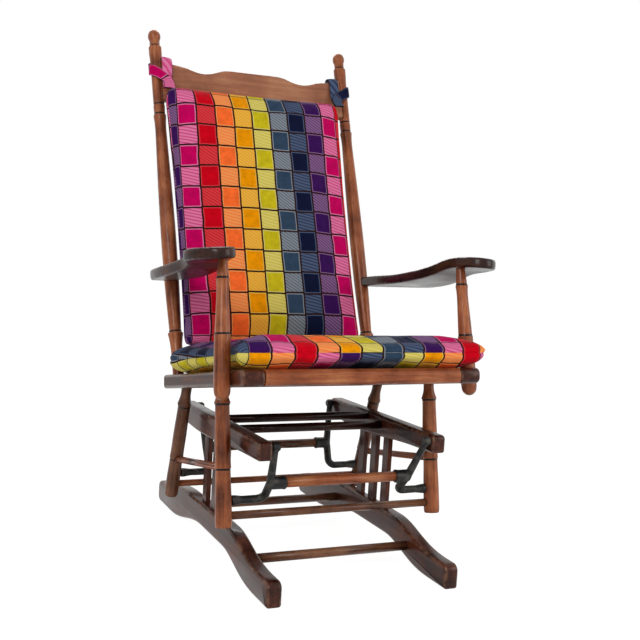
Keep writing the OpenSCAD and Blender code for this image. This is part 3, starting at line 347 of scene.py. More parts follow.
def add_node(tree, kind, inputs=(), stops=(), **values):
    """Adds a shader node with these values and colour stops, and links or sets its sockets, which are
    given in order or by name. A node among the inputs stands for its first output. MapRange takes the
    value, the two ends that it comes from and the two that it goes to."""
    node = tree.nodes.new("ShaderNode" + kind)
    for name, value in values.items():
        setattr(node, name, value)
    for socket, source in inputs.items() if isinstance(inputs, dict) else enumerate(inputs):
        if isinstance(source, bpy.types.Node):
            source = source.outputs[0]
        if isinstance(source, bpy.types.NodeSocket):
            tree.links.new(source, node.inputs[socket])
        else:
            node.inputs[socket].default_value = source
    while stops and len(node.color_ramp.elements) < len(stops):
        node.color_ramp.elements.new(1.0)
    for number, (place, colour) in enumerate(stops):
        node.color_ramp.elements[number].position = place
        node.color_ramp.elements[number].color = (*colour, 1.0)
    return node


def new_material(name, **shader):
    """A material, the function that adds its nodes, and its Principled shader. Constants go on the
    shader's own sockets."""
    material = bpy.data.materials.new(name)
    material.use_nodes = True
    bsdf = material.node_tree.nodes["Principled BSDF"]
    for socket, value in shader.items():
        bsdf.inputs[socket.replace("_", " ")].default_value = value
    return material, functools.partial(add_node, material.node_tree), bsdf


def connect(shader, **sources):
    """Links the shader's sockets to nodes or to their outputs."""
    for socket, source in sources.items():
        shader.id_data.links.new(
            getattr(source, "outputs", [source])[0], shader.inputs[socket.replace("_", " ")])


def stained_wood(name, turn, tones, rings=()):
    """Stained hardwood under a clear lacquer: long grain streaks, dark pores, uneven stain, a bright
    gloss, pale rubbed edges, and black paint in the turned rings.
    turn brings the grain, which runs along Z in the pattern, onto the piece's own length."""
    wood = settings().wood
    material, add, bsdf = new_material(
        name, Coat_Weight=0.2, Coat_Roughness=0.12, Specular_IOR_Level=0.12)
    place = add("TexCoord").outputs["Object"]
    grain = add("Mapping", {"Vector": place, "Rotation": turn})
    # Grain bands about 9 mm across and 200 mm long, and pores about 1 mm by 18 mm, coarser than real ones
    bands = add("Mapping", {"Vector": grain, "Scale": (110, 110, 5)})
    band = add("TexNoise", {"Vector": bands, "Scale": 1.0, "Detail": 5, "Roughness": 0.6})
    streaks = add("Mapping", {"Vector": grain, "Scale": (900, 900, 55)})
    pores = add("TexNoise", {"Vector": streaks, "Scale": 1.0, "Detail": 2})
    # Stain lies thicker in some places, in clouds about 60 mm across
    cloud = add("TexNoise", {"Vector": grain, "Scale": 16.0, "Detail": 3})
    shade = add("Math", (band, cloud), operation="ADD")
    half = add("Math", (shade, 0.5), operation="MULTIPLY")
    stain = add("ValToRGB", (half,), list(zip((0.33, 0.5, 0.67), tones)))
    pore = add("MapRange", (pores, 0.34, 0.46, 0.45, 0.0))
    # Rounded edges are rubbed pale in patches about 15 mm long
    edge = add("Attribute", attribute_name="worn").outputs["Fac"]
    patch = add("TexNoise", {"Vector": grain, "Scale": 65.0, "Detail": 3})
    bare = add("MapRange", (patch, 0.42, 0.62, 0.0, 0.6))
    rubbed = add("Math", (edge, bare), operation="MULTIPLY")
    layers = [(pore, tones[0]), (rubbed, wood.rubbed_colour)]
    if rings:
        height = add("SeparateXYZ", (grain,)).outputs[2]
        painted = 0.0
        for ring in rings:
            mask = add("Math", (height, ring, wood.ring_width / 2), operation="COMPARE")
            painted = add("Math", (painted, mask), operation="MAXIMUM")
        layers.append((painted, wood.ring_colour))
    colour = stain
    for share, over in layers:
        colour = add("Mix", {0: share, 6: colour, 7: (*over, 1)}, data_type="RGBA").outputs[2]
    rough = add("MapRange", (cloud, 0.3, 0.7, 0.24, 0.42))
    bump = add("Bump", {"Strength": 0.2, "Distance": 0.0004, "Height": pores})
    connect(bsdf, Base_Color=colour, Roughness=rough, Normal=bump)
    return material


def cast_iron():
    """Blackened cast iron: sand-cast grit, an oiled skin, paler where it is rubbed and dusty."""
    iron = settings().iron
    material, add, bsdf = new_material("blackened_cast_iron", Metallic=0.35, Specular_IOR_Level=0.4)
    place = add("TexCoord").outputs["Object"]
    # Grit of 1.4 mm, coarser than the real sand, and rubbed patches about 18 mm across
    grit = add("TexNoise", {"Vector": place, "Scale": 700.0, "Detail": 3})
    patch = add("TexNoise", {"Vector": place, "Scale": 55.0, "Detail": 5})
    colour = add("ValToRGB", (patch,), ((0.45, iron.face_colour), (0.72, iron.worn_colour)))
    rough = add("MapRange", (patch, 0.3, 0.7, 0.36, 0.58))
    bump = add("Bump", {"Strength": 0.35, "Distance": 0.0006, "Height": grit})
    connect(bsdf, Base_Color=colour, Roughness=rough, Normal=bump)
    return material


def grid_cloth():
    """Upholstery cloth woven in columns of cut-velvet squares and flat ribbed squares, with dark lines
    of ground thread between them. Velvet gives deep colour and a pale bloom at grazing angles."""
    cloth = settings().cloth
    material, add, bsdf = new_material(
        "grid_velvet_cloth", Sheen_Weight=0.04, Sheen_Roughness=0.4, Roughness=0.9, Specular_IOR_Level=0.06)
    pair = cloth.velvet_height + cloth.woven_height
    velvet_share = cloth.velvet_height / pair
    uv = add("UVMap", uv_map="cloth")
    # The weave wanders by about 1 mm, so that no line is ruled
    drift = add("TexNoise", {"Vector": uv, "Scale": 22.0, "Detail": 2}).outputs["Color"]
    centred = add("VectorMath", (drift, (0.5, 0.5, 0.5)), operation="SUBTRACT")
    scaled = add("VectorMath", {0: centred, "Scale": 0.004}, operation="SCALE")
    place = add("VectorMath", (uv, scaled), operation="ADD")
    across, along = add("SeparateXYZ", (place,)).outputs[:2]

    # Columns, and pairs of squares along them, half a pair lower in every second column
    columns = add("Math", (across, cloth.column_width), operation="DIVIDE")
    column = add("Math", (columns,), operation="FLOOR")
    odd = add("Math", (column, 2.0), operation="FLOORED_MODULO")
    pairs = add("Math", (along, pair), operation="DIVIDE")
    rows = add("Math", (odd, 0.5, pairs), operation="MULTIPLY_ADD")
    in_pair = add("Math", (rows,), operation="FRACT")
    is_woven = add("Math", (in_pair, velvet_share), operation="GREATER_THAN")

    # Distance from the nearest edge of the square, in metres
    from_column = add("Math", (columns, 0.5), operation="PINGPONG")
    side = add("Math", (from_column, cloth.column_width), operation="MULTIPLY")
    from_pair = add("Math", (rows, 0.5), operation="PINGPONG")
    past_joint = add("Math", (in_pair, velvet_share), operation="SUBTRACT")
    from_joint = add("Math", (past_joint,), operation="ABSOLUTE")
    from_end = add("Math", (from_pair, from_joint), operation="MINIMUM")
    end = add("Math", (from_end, pair), operation="MULTIPLY")
    inset = add("Math", (side, end), operation="MINIMUM")
    line_end = cloth.line_width / 2
    border_end = line_end + cloth.border_width
    in_line = add("MapRange", (inset, line_end, line_end + LINE_BLUR, 1.0, 0.0))
    in_border = add("MapRange", (inset, border_end, border_end + LINE_BLUR, 0.9, 0.0))
    is_velvet = add("Math", (1.0, is_woven), operation="SUBTRACT")
    velvet_border = add("Math", (in_border, is_velvet), operation="MULTIPLY")

    # Which of the eight colours a column has
    count = len(VELVETS)
    number = add("Math", (column, float(count)), operation="FLOORED_MODULO")
    hue = add("Math", (number, 1 / count, 0.5 / count), operation="MULTIPLY_ADD")
    velvet, woven = (
        add("ValToRGB", (hue,), [(i / count, linear(code)) for i, code in enumerate(codes)])
        for codes in (VELVETS, WOVENS))
    velvet.color_ramp.interpolation = woven.color_ramp.interpolation = "CONSTANT"

    # Ribs of the woven squares slope steeply in odd columns and lie flatter in even ones
    slope = add("Math", (odd, 0.45, 0.25), operation="MULTIPLY_ADD")
    rib_place = add("Math", (across, slope, along), operation="MULTIPLY_ADD")
    rib_count = add("Math", (rib_place, cloth.hatch_pitch), operation="DIVIDE")
    rib = add("Math", (rib_count, 0.5), operation="PINGPONG")
    in_rib = add("MapRange", (rib, 0.14, 0.3, 0.62, 0.0))
    ribbed = add("Mix", {0: in_rib, 6: woven, 7: velvet}, data_type="RGBA").outputs[2]

    # Pile that has been stroked lies in patches of about 17 mm, each a little lighter or darker
    nap = add("TexNoise", {"Vector": uv, "Scale": 60.0, "Detail": 4, "Roughness": 0.65})
    value = add("MapRange", (nap, 0.3, 0.7, 0.8, 1.18))
    colour = add("HueSaturation", {"Color": velvet, "Value": value})
    for share, over in ((is_woven, ribbed), (velvet_border, woven), (in_line, (*cloth.line_colour, 1))):
        colour = add("Mix", {0: share, 6: colour, 7: over}, data_type="RGBA").outputs[2]

    # Velvet squares stand up from the lines, woven ones are ribbed, and both have fuzz of 0.7 mm
    fuzz = add("TexNoise", {"Vector": uv, "Scale": 1400.0, "Detail": 1})
    rise = add("MapRange", (inset, line_end, 0.007, 0.0, 1.0), interpolation_type="SMOOTHSTEP")
    ribs = add("Math", (rib, is_woven), operation="MULTIPLY")
    raised = add("Math", (ribs, 0.5, rise), operation="MULTIPLY_ADD")
    height = add("Math", (fuzz, 0.25, raised), operation="MULTIPLY_ADD")
    bump = add("Bump", {"Strength": 0.6, "Distance": 0.0012, "Height": height})
    connect(bsdf, Base_Color=colour, Normal=bump)
    return material


def material(key):
    """Makes a material the first time that it is asked for."""
    made = bpy.data.materials.get(key)
    if made:
        return made
    rocker = settings()
    wood = rocker.wood
    tones = {kind: tuple(getattr(wood, f"{kind}_{depth}") for depth in DEPTHS) for kind in STAINS}
    tilt, quarter = rocker.seat_tilt, math.pi / 2
    upright, backward, across = (tilt, 0, 0), (tilt + rocker.back_lean, 0, 0), (0, quarter, 0)
    rear_leg = (tilt - rocker.rear_leg_lean, 0, 0)
    level, along_seat = (quarter, 0, 0), (quarter + tilt, 0, 0)
    makers = {
        "turned_hardwood_front_leg": (upright, "leg", "front_leg"),
        "turned_hardwood_arm_post": (upright, "leg", "arm_post"),
        # Painted shade: the rear legs take the darker rod stain, and the front legs keep the lighter leg
        # stain
        "turned_hardwood_rear_leg": (rear_leg, "rod", "rear_leg"),
        "turned_hardwood_back_post": (backward, "leg", "back_post"),
        "turned_hardwood_side_stretcher": (along_seat, "leg", None),
        "turned_hardwood_spindle": (backward, "board", None),
        "turned_hardwood_rod": (across, "rod", None),
        "turned_hardwood_dowel": (across, "dowel", None),
        "turned_hardwood_dark_rod": (across, "arm", None),
        "turned_hardwood_rear_stretcher": (across, "leg", None),
        "stained_board_level": (level, "board", None),
        "stained_board_along_seat": (along_seat, "board", None),
        "stained_board_upright": (upright, "board", None),
        "stained_board_across": (across, "board", None),
        "stained_arm_board": (along_seat, "arm", None),
        "stained_crest_board": (across, "crest", None),
    }
    if key in makers:
        turn, kind, ringed = makers[key]
        return stained_wood(key, turn, tones[kind], painted_rings(ringed, turn) if ringed else ())
    return {"blackened_cast_iron": cast_iron, "grid_velvet_cloth": grid_cloth}[key]()


def painted_rings(name, turn):
    """Heights of a turned piece's rings in its material's pattern, whose Z runs along the piece."""
    length = Euler(turn).to_matrix().transposed() @ Vector((0, 0, 1))
    low, high = extent(frame["nodes"][f"{name}_right"], length)
    return [place + (low if place > 0 else high) for place in RINGS[name]]


def paint_nodes(key, *names):
    """Gives CAD nodes that stay a material."""
    for name in names:
        node = frame["nodes"][name]
        node.data.materials.clear()
        node.data.materials.append(material(key))


def both(name):
    return [f"{name}_left", f"{name}_right"]


class ROCKER_OT_turnings(bpy.types.Operator):
    """Finish the turned legs, posts, stretchers, spindles, rods and dowels"""
    bl_idname = "rocker.turnings"
    bl_label = "Turned wood"

    def execute(self, context):
        for name in ("front_leg", "rear_leg", "arm_post", "back_post", "side_stretcher"):
            self.turn(f"turned_hardwood_{name}", "chair", *both(name))
        self.turn("turned_hardwood_spindle", "chair", *[f"spindle_{i}" for i in range(1, 6)])
        self.turn("turned_hardwood_rear_stretcher", "chair", "rear_stretcher")
        self.turn("turned_hardwood_rod", "chair", "front_stretcher")
        self.turn("turned_hardwood_rod", "base", "lower_rod_front", "lower_rod_rear")
        # Painted shade: the upper rods, in the seat's shade, take the arms' dark stain
        self.turn("turned_hardwood_dark_rod", "base", "upper_rod_front", "upper_rod_rear")
        self.turn("turned_hardwood_dowel", "front_hangers", "front_dowel")
        self.turn("turned_hardwood_rod", "rear_hangers", "rear_dowel")
        return {"FINISHED"}

    def turn(self, key, body, *names):
        """Copies nodes with a smooth surface, as the lathe leaves it, between their sharp edges."""
        for name in names:
            piece = merged_copy(name, name + "_turned")
            smooth(piece, 38)
            dress(piece, material(key), body, "wood", name)


class ROCKER_OT_boards(bpy.types.Operator):
    """Make the runners, top rails and side rails with rounded edges, and stain the slats, the seat rails and
    the seat board
    """
    bl_idname = "rocker.boards"
    bl_label = "Boards"

    def execute(self, context):
        wood = settings().wood
        for side, way in SIDES.items():
            outward = Vector((way, 0, 0))
            for name, body, key, corner in (
                    ("runner", "base", "stained_board_level", wood.board_corner),
                    ("top_rail", "base", "stained_board_level", wood.board_corner),
                    ("side_rail", "chair", "stained_board_along_seat", 0)):
                node = f"{name}_{side}"
                piece = rounded_board(node, outward, wood.board_edge, corner)
                dress(piece, material(key), body, "wood", node)
            paint_nodes("stained_board_upright", *[f"slat_{side}_{i}" for i in ("front", "middle", "rear")])
        paint_nodes("turned_hardwood_dowel", "front_seat_rail")
        paint_nodes("stained_board_across", "rear_seat_rail", "seat_board")
        return {"FINISHED"}


class ROCKER_OT_arms(bpy.types.Operator):
    """Make the two arms with full round edges"""
    bl_idname = "rocker.arms"
    bl_label = "Arms"

    def execute(self, context):
        rocker = settings()
        roll, tilt, faces_up = rocker.wood.arm_roll, rocker.seat_tilt, 0.6
        for side, way in SIDES.items():
            up = Vector((way * math.sin(roll), 0, 0)) + plane_axes(tilt)[2] * math.cos(roll)
            node = f"arm_{side}"
            piece = merged_copy(node, node + "_board")
            keep_faces(piece, lambda face: face.normal.dot(up) > faces_up)
            thicken(piece, -up * rocker.wood.arm_thickness)
            # The smoothing that rounds the edges also thins the board, so it starts 2 mm fuller
            edit(piece, lambda: bpy.ops.transform.shrink_fatten(value=0.0020))
            apply_modifier(piece, "REMESH", mode="VOXEL", voxel_size=0.0022)
            apply_modifier(piece, "SMOOTH", factor=0.5, iterations=36)
            smooth(piece, 60)
            dress(piece, material("stained_arm_board"), "chair", "wood", node)
        return {"FINISHED"}


class ROCKER_OT_crest(bpy.types.Operator):
    """Make the crest rail with rounded edges"""
    bl_idname = "rocker.crest"
    bl_label = "Crest rail"

    def execute(self, context):
        piece = rounded_board("crest_rail", back_axes()[2], settings().wood.crest_edge)
        dress(piece, material("stained_crest_board"), "chair", "wood", "crest_rail")
        return {"FINISHED"}


def middle(node):
    low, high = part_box(node)
    return (low + high) / 2


def rod(low_x, high_x, centre, width, end_width=None):
    """A rod or cone along X, whose centre gives its place in Y and Z."""
    deselect()
    bpy.ops.mesh.primitive_cone_add(
        vertices=48, radius1=width / 2, radius2=(end_width or width) / 2, depth=high_x - low_x,
        location=((low_x + high_x) / 2, centre.y, centre.z), rotation=(0, math.pi / 2, 0))
    bpy.ops.object.transform_apply(location=True, rotation=True, scale=True)
    return bpy.context.object


# Sizes of a hanger's casting along X, in metres
EAR_GAP = 0.0025  # from the top rail to the ear
SOCKET_DEPTH = 0.030  # from the dowel socket's mouth to the middle of the bar
BEND_DEPTH = 0.027  # from the same mouth to the lower bend
LIP = 0.005  # the socket's lip, and the rounding of its back
FLARE, COLLAR = 0.022, 0.006  # from the lower arm's end to the flare and to the collar
# Diameters of the pins, the dowel's tenon and the upper pin's head, which is sunk, and the clearance
UPPER_PIN, LOWER_PIN, TENON, HEAD, HEAD_DEPTH, CLEARANCE = 0.008, 0.009, 0.0195, 0.0136, 0.0043, 0.0003


class ROCKER_OT_iron(bpy.types.Operator):
    """Make the four cast hangers, and finish their pins"""
    bl_idname = "rocker.iron"
    bl_label = "Iron"

    def execute(self, context):
        iron = settings().iron
        for end in ("front", "rear"):
            right = self.cast(end, iron)
            self.bore(right, end)
            left = right.copy()
            left.data = right.data.copy()
            bpy.context.scene.collection.objects.link(left)
            left.data.transform(Matrix.Scale(-1, 4, Vector((1, 0, 0))))
            face_outwards(left)
            for side, piece in (("left", left), ("right", right)):
                piece.name = f"{end}_hanger_{side}_casting"
                smooth(piece, 40)
                dress(
                    piece, material("blackened_cast_iron"), f"{end}_hangers", "iron", f"{end}_hanger_{side}")
            for pin in ("upper_pin", "lower_pin"):
                paint_nodes("blackened_cast_iron", *both(f"{end}_{pin}"))
        return {"FINISHED"}

    def cast(self, end, iron):
        """Bar, ear, socket and lower arm of the right hanger, run together as in one casting."""
        high, low, dowel, mouth, foot = self.places(end)
        ear_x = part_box("top_rail_right")[0].x - EAR_GAP - iron.ear_depth / 2
        ear = Vector((ear_x, high.y, high.z))
        boss = Vector((mouth + SOCKET_DEPTH, dowel.y, dowel.z))
        corner = Vector((mouth + BEND_DEPTH, low.y, low.z))
        before = corner + (boss - corner).normalized() * iron.bend_radius
        after = corner + Vector((iron.bend_radius, 0, 0))
        last = Vector((foot - 0.001, low.y, low.z))
        thick, lower = iron.bend_width, iron.bend_width * 0.88
        deselect()
        bpy.ops.curve.primitive_bezier_curve_add()
        bar = bpy.context.object
        bar.data.bevel_depth = 1.0
        bar.data.bevel_resolution = 6
        bar.data.resolution_u = 16
        bar.data.use_fill_caps = True
        points = bar.data.splines[0].bezier_points
        points.add(3)
        route = (
            (ear, iron.bar_width, ear, boss), (boss, thick * 0.98, ear, corner),
            (before, thick, boss, corner), (after, thick * 0.95, corner, last), (last, lower, after, last))
        for point, (place, width, towards_last, towards_next) in zip(points, route):
            point.handle_left_type = point.handle_right_type = "FREE"
            point.co = place
            point.radius = width / 2
            point.handle_left = place.lerp(towards_last, 0.5)
            point.handle_right = place.lerp(towards_next, 0.5)
        lone(bar)
        bpy.ops.object.convert(target="MESH")
        parts = [
            rod(ear_x - iron.ear_depth / 2, ear_x + iron.ear_depth / 2, high, iron.ear_width),
            rod(mouth, boss.x, dowel, iron.socket_width),
            rod(boss.x, boss.x + LIP, dowel, iron.socket_width, iron.socket_width * 0.6),
            rod(mouth, mouth + LIP, dowel, iron.lip_width),
            rod(foot - FLARE, foot - COLLAR, low, lower, iron.collar_width),
            rod(foot - COLLAR, foot, low, iron.collar_width),
        ]
        lone(bar)
        for part in parts:
            part.select_set(True)
        bpy.ops.object.join()
        apply_modifier(bar, "REMESH", mode="VOXEL", voxel_size=iron.grain)
        apply_modifier(bar, "SMOOTH", factor=0.5, iterations=5)
        return bar

    def places(self, end):
        """Middles of the right pins and of the dowel, and the X of the hanger's two ends."""
        pieces = (f"{end}_upper_pin_right", f"{end}_lower_pin_right", f"{end}_dowel")
        return (*map(middle, pieces), *(corner.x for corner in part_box(f"{end}_hanger_right")))

    def bore(self, piece, end):
        """Cuts the holes of the pins and the dowel, each cutter a little past the face that it opens."""
        high, low, dowel, mouth, foot = self.places(end)
        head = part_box(f"{end}_upper_pin_right")[0].x
        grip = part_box(f"{end}_lower_pin_right")[0].x
        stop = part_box(f"{end}_dowel")[1].x
        for cutter in (
                rod(head, foot, high, UPPER_PIN + 2 * CLEARANCE),
                rod(head - 0.02, head + HEAD_DEPTH, high, HEAD),
                rod(mouth - 0.01, stop + CLEARANCE, dowel, TENON + 2 * CLEARANCE),
                rod(grip - CLEARANCE, foot + 0.01, low, LOWER_PIN + 2 * CLEARANCE)):
            apply_modifier(piece, "BOOLEAN", object=cutter, operation="DIFFERENCE", solver="EXACT")
            bpy.data.objects.remove(cutter)


# Sizes of the stuffed cushions, in metres
COVER_INSET = 0.001  # how far the cover starts inside the solid
SWELL_CAP = 0.007  # the most that the simulation moves a point
SWELL_ROOM = 0.006  # how far the outward panel may rise past the solid
SOFT_EDGE = 0.022  # from a cushion's side to where its panels lie flat
SEAM_DEPTH = 0.003  # depth of the groove at the seam


def stuffed(node, name, outward):
    """A cushion whose two panels are swollen from a node's shape by a cloth simulation."""
    piece = merged_copy(node, name)
    edit(piece, lambda: bpy.ops.transform.shrink_fatten(value=-COVER_INSET))
    apply_modifier(piece, "REMESH", mode="VOXEL", voxel_size=0.006)
    apply_modifier(piece, "SMOOTH", factor=0.5, iterations=3)
    swell(piece, outward)
    apply_modifier(piece, "SUBSURF", levels=1, render_levels=1)
    return piece


def swell(piece, outward):
    """Blows the panels up as cloth between held sides, moving no point by more than the cap."""
    scene, frames, side_slope = bpy.context.scene, 20, 0.55
    start = [vertex.co.copy() for vertex in piece.data.vertices]
    held = piece.vertex_groups.new(name="sides")
    sides = [v.index for v in piece.data.vertices if abs(v.normal.dot(outward)) < side_slope]
    held.add(sides, 1.0, "REPLACE")
    lone(piece)
    cloth = piece.modifiers.new("cloth", "CLOTH")
    cloth.settings.vertex_group_mass = held.name
    cloth.settings.use_pressure = True
    cloth.settings.uniform_pressure_force = 4
    cloth.settings.shrink_min = -0.01
    cloth.settings.effector_weights.gravity = 0
    cloth.point_cache.frame_start = 1
    cloth.point_cache.frame_end = frames
    for number in range(1, frames + 1):
        scene.frame_set(number)
    bpy.ops.object.modifier_apply(modifier=cloth.name)
    piece.vertex_groups.clear()
    for vertex, first in zip(piece.data.vertices, start):
        move = vertex.co - first
        if move.length > SWELL_CAP:
            vertex.co = first + move * (SWELL_CAP / move.length)
    scene.frame_set(1)
    apply_modifier(piece, "SMOOTH", factor=0.5, iterations=2)


def hold_inside(piece, axes, low, high):
    """Keeps every point between two limits along each axis, each limit None where it is free."""
    for vertex in piece.data.vertices:
        for axis, least, most in zip(axes, low, high):
            place = vertex.co.dot(axis)
            if least is not None and place < least:
                vertex.co += axis * (least - place)
            if most is not None and place > most:
                vertex.co += axis * (most - place)


def sew_panels(piece, axes, seam, flat, phases):
    """Cuts a groove round the cushion at its seam, and lays the cloth's pattern over the two panels.
    Inside the flat part, given by its least and most place across and along, the pattern lies plain.
    phases gives the pattern's start across and along, on the outward panel and on the other."""
    across, along, outward = axes
    # Where a panel drops away at its edge, the pattern follows by this share, in full 15 mm past the flat
    follow, turn = 0.8, 0.015
    edit(piece, lambda: bpy.ops.mesh.bisect(plane_co=outward * seam, plane_no=outward))
    mesh = piece.data
    reach = {way: max(way * (v.co.dot(outward) - seam) for v in mesh.vertices) for way in (1, -1)}
    low, high = (Vector(corner) for corner in flat)
    layer = mesh.uv_layers.new(name="cloth")
    for polygon in mesh.polygons:
        way = 1 if polygon.center.dot(outward) > seam else -1
        start_u, start_v = phases[way]
        for loop in polygon.loop_indices:
            point = mesh.vertices[mesh.loops[loop].vertex_index].co
            place = Vector((point.dot(across), point.dot(along)))
            near = Vector((min(max(place[i], low[i]), high[i]) for i in (0, 1)))
            away = place - near
            drop = reach[way] - way * (point.dot(outward) - seam)
            if away.length > 0:
                place += away.normalized() * follow * drop * min(away.length / turn, 1)
            layer.data[loop].uv = (way * place.x + start_u, place.y + start_v)
    normals = [v.normal.copy() for v in mesh.vertices]
    for vertex, normal in zip(mesh.vertices, normals):
        away = abs(vertex.co.dot(outward) - seam)
        if away < SEAM_DEPTH * 3:
            vertex.co -= normal * SEAM_DEPTH * (1 - away / (SEAM_DEPTH * 3)) ** 2


def draw_corners(piece, across, along, pull, reach):
    """Draws the two front corners outward, fading out over the reach."""
    for way in (1, -1):
        aim = (across * way - along).normalized()
        corner = max((v.co for v in piece.data.vertices), key=aim.dot).copy()
        for vertex in piece.data.vertices:
            gap = (vertex.co - corner).length
            if gap < reach:
                vertex.co += aim * pull * (1 - gap / reach) ** 2


class ROCKER_OT_seat_cushion(bpy.types.Operator):
    """Make the boxed seat cushion"""
    bl_idname = "rocker.seat_cushion"
    bl_label = "Seat cushion"

    def execute(self, context):
        axes = plane_axes(settings().seat_tilt)
        low, high = extent(frame["nodes"]["seat_cushion"], axes[2])
        piece = stuffed("seat_cushion", "seat_cushion_cover", axes[2])
        hold_inside(piece, axes, (None, None, low), (None, None, high + SWELL_ROOM))
        front, rear = extent(piece, axes[1])
        half_flat, seam_share = 0.228, 0.47
        sew_panels(
            piece, axes, low + seam_share * (high - low),
            ((-half_flat, front + SOFT_EDGE), (half_flat, rear - SOFT_EDGE)),
            {1: (0.1895, 0.081 - front), -1: (-0.059, 0.078 - front)})
        draw_corners(piece, *axes[:2], pull=0.009, reach=0.05)
        smooth(piece, 60)
        dress(piece, material("grid_velvet_cloth"), "chair", "cushion_cloth", "seat_cushion")
        return {"FINISHED"}


class ROCKER_OT_back_cushion(bpy.types.Operator):
    """Make the boxed back cushion"""
    bl_idname = "rocker.back_cushion"
    bl_label = "Back cushion"

    def execute(self, context):
        axes = back_axes()
        low, high = extent(frame["nodes"]["back_cushion"], axes[2])
        left, right = extent(frame["nodes"]["back_cushion"], axes[0])
        piece = stuffed("back_cushion", "back_cushion_cover", axes[2])
        hold_inside(piece, axes, (left, None, low), (right, None, high + SWELL_ROOM))
        bottom, top = extent(piece, axes[1])
        width = settings().cloth.column_width
        sew_panels(
            piece, axes, (low + high) / 2,
            ((left + SOFT_EDGE, bottom + SOFT_EDGE), (right - SOFT_EDGE, top - SOFT_EDGE)),
            {1: (width * 4.9, 0.0698), -1: (width * 2.446, 0.118)})
        smooth(piece, 60)
        dress(piece, material("grid_velvet_cloth"), "chair", "cushion_cloth", "back_cushion")
        return {"FINISHED"}


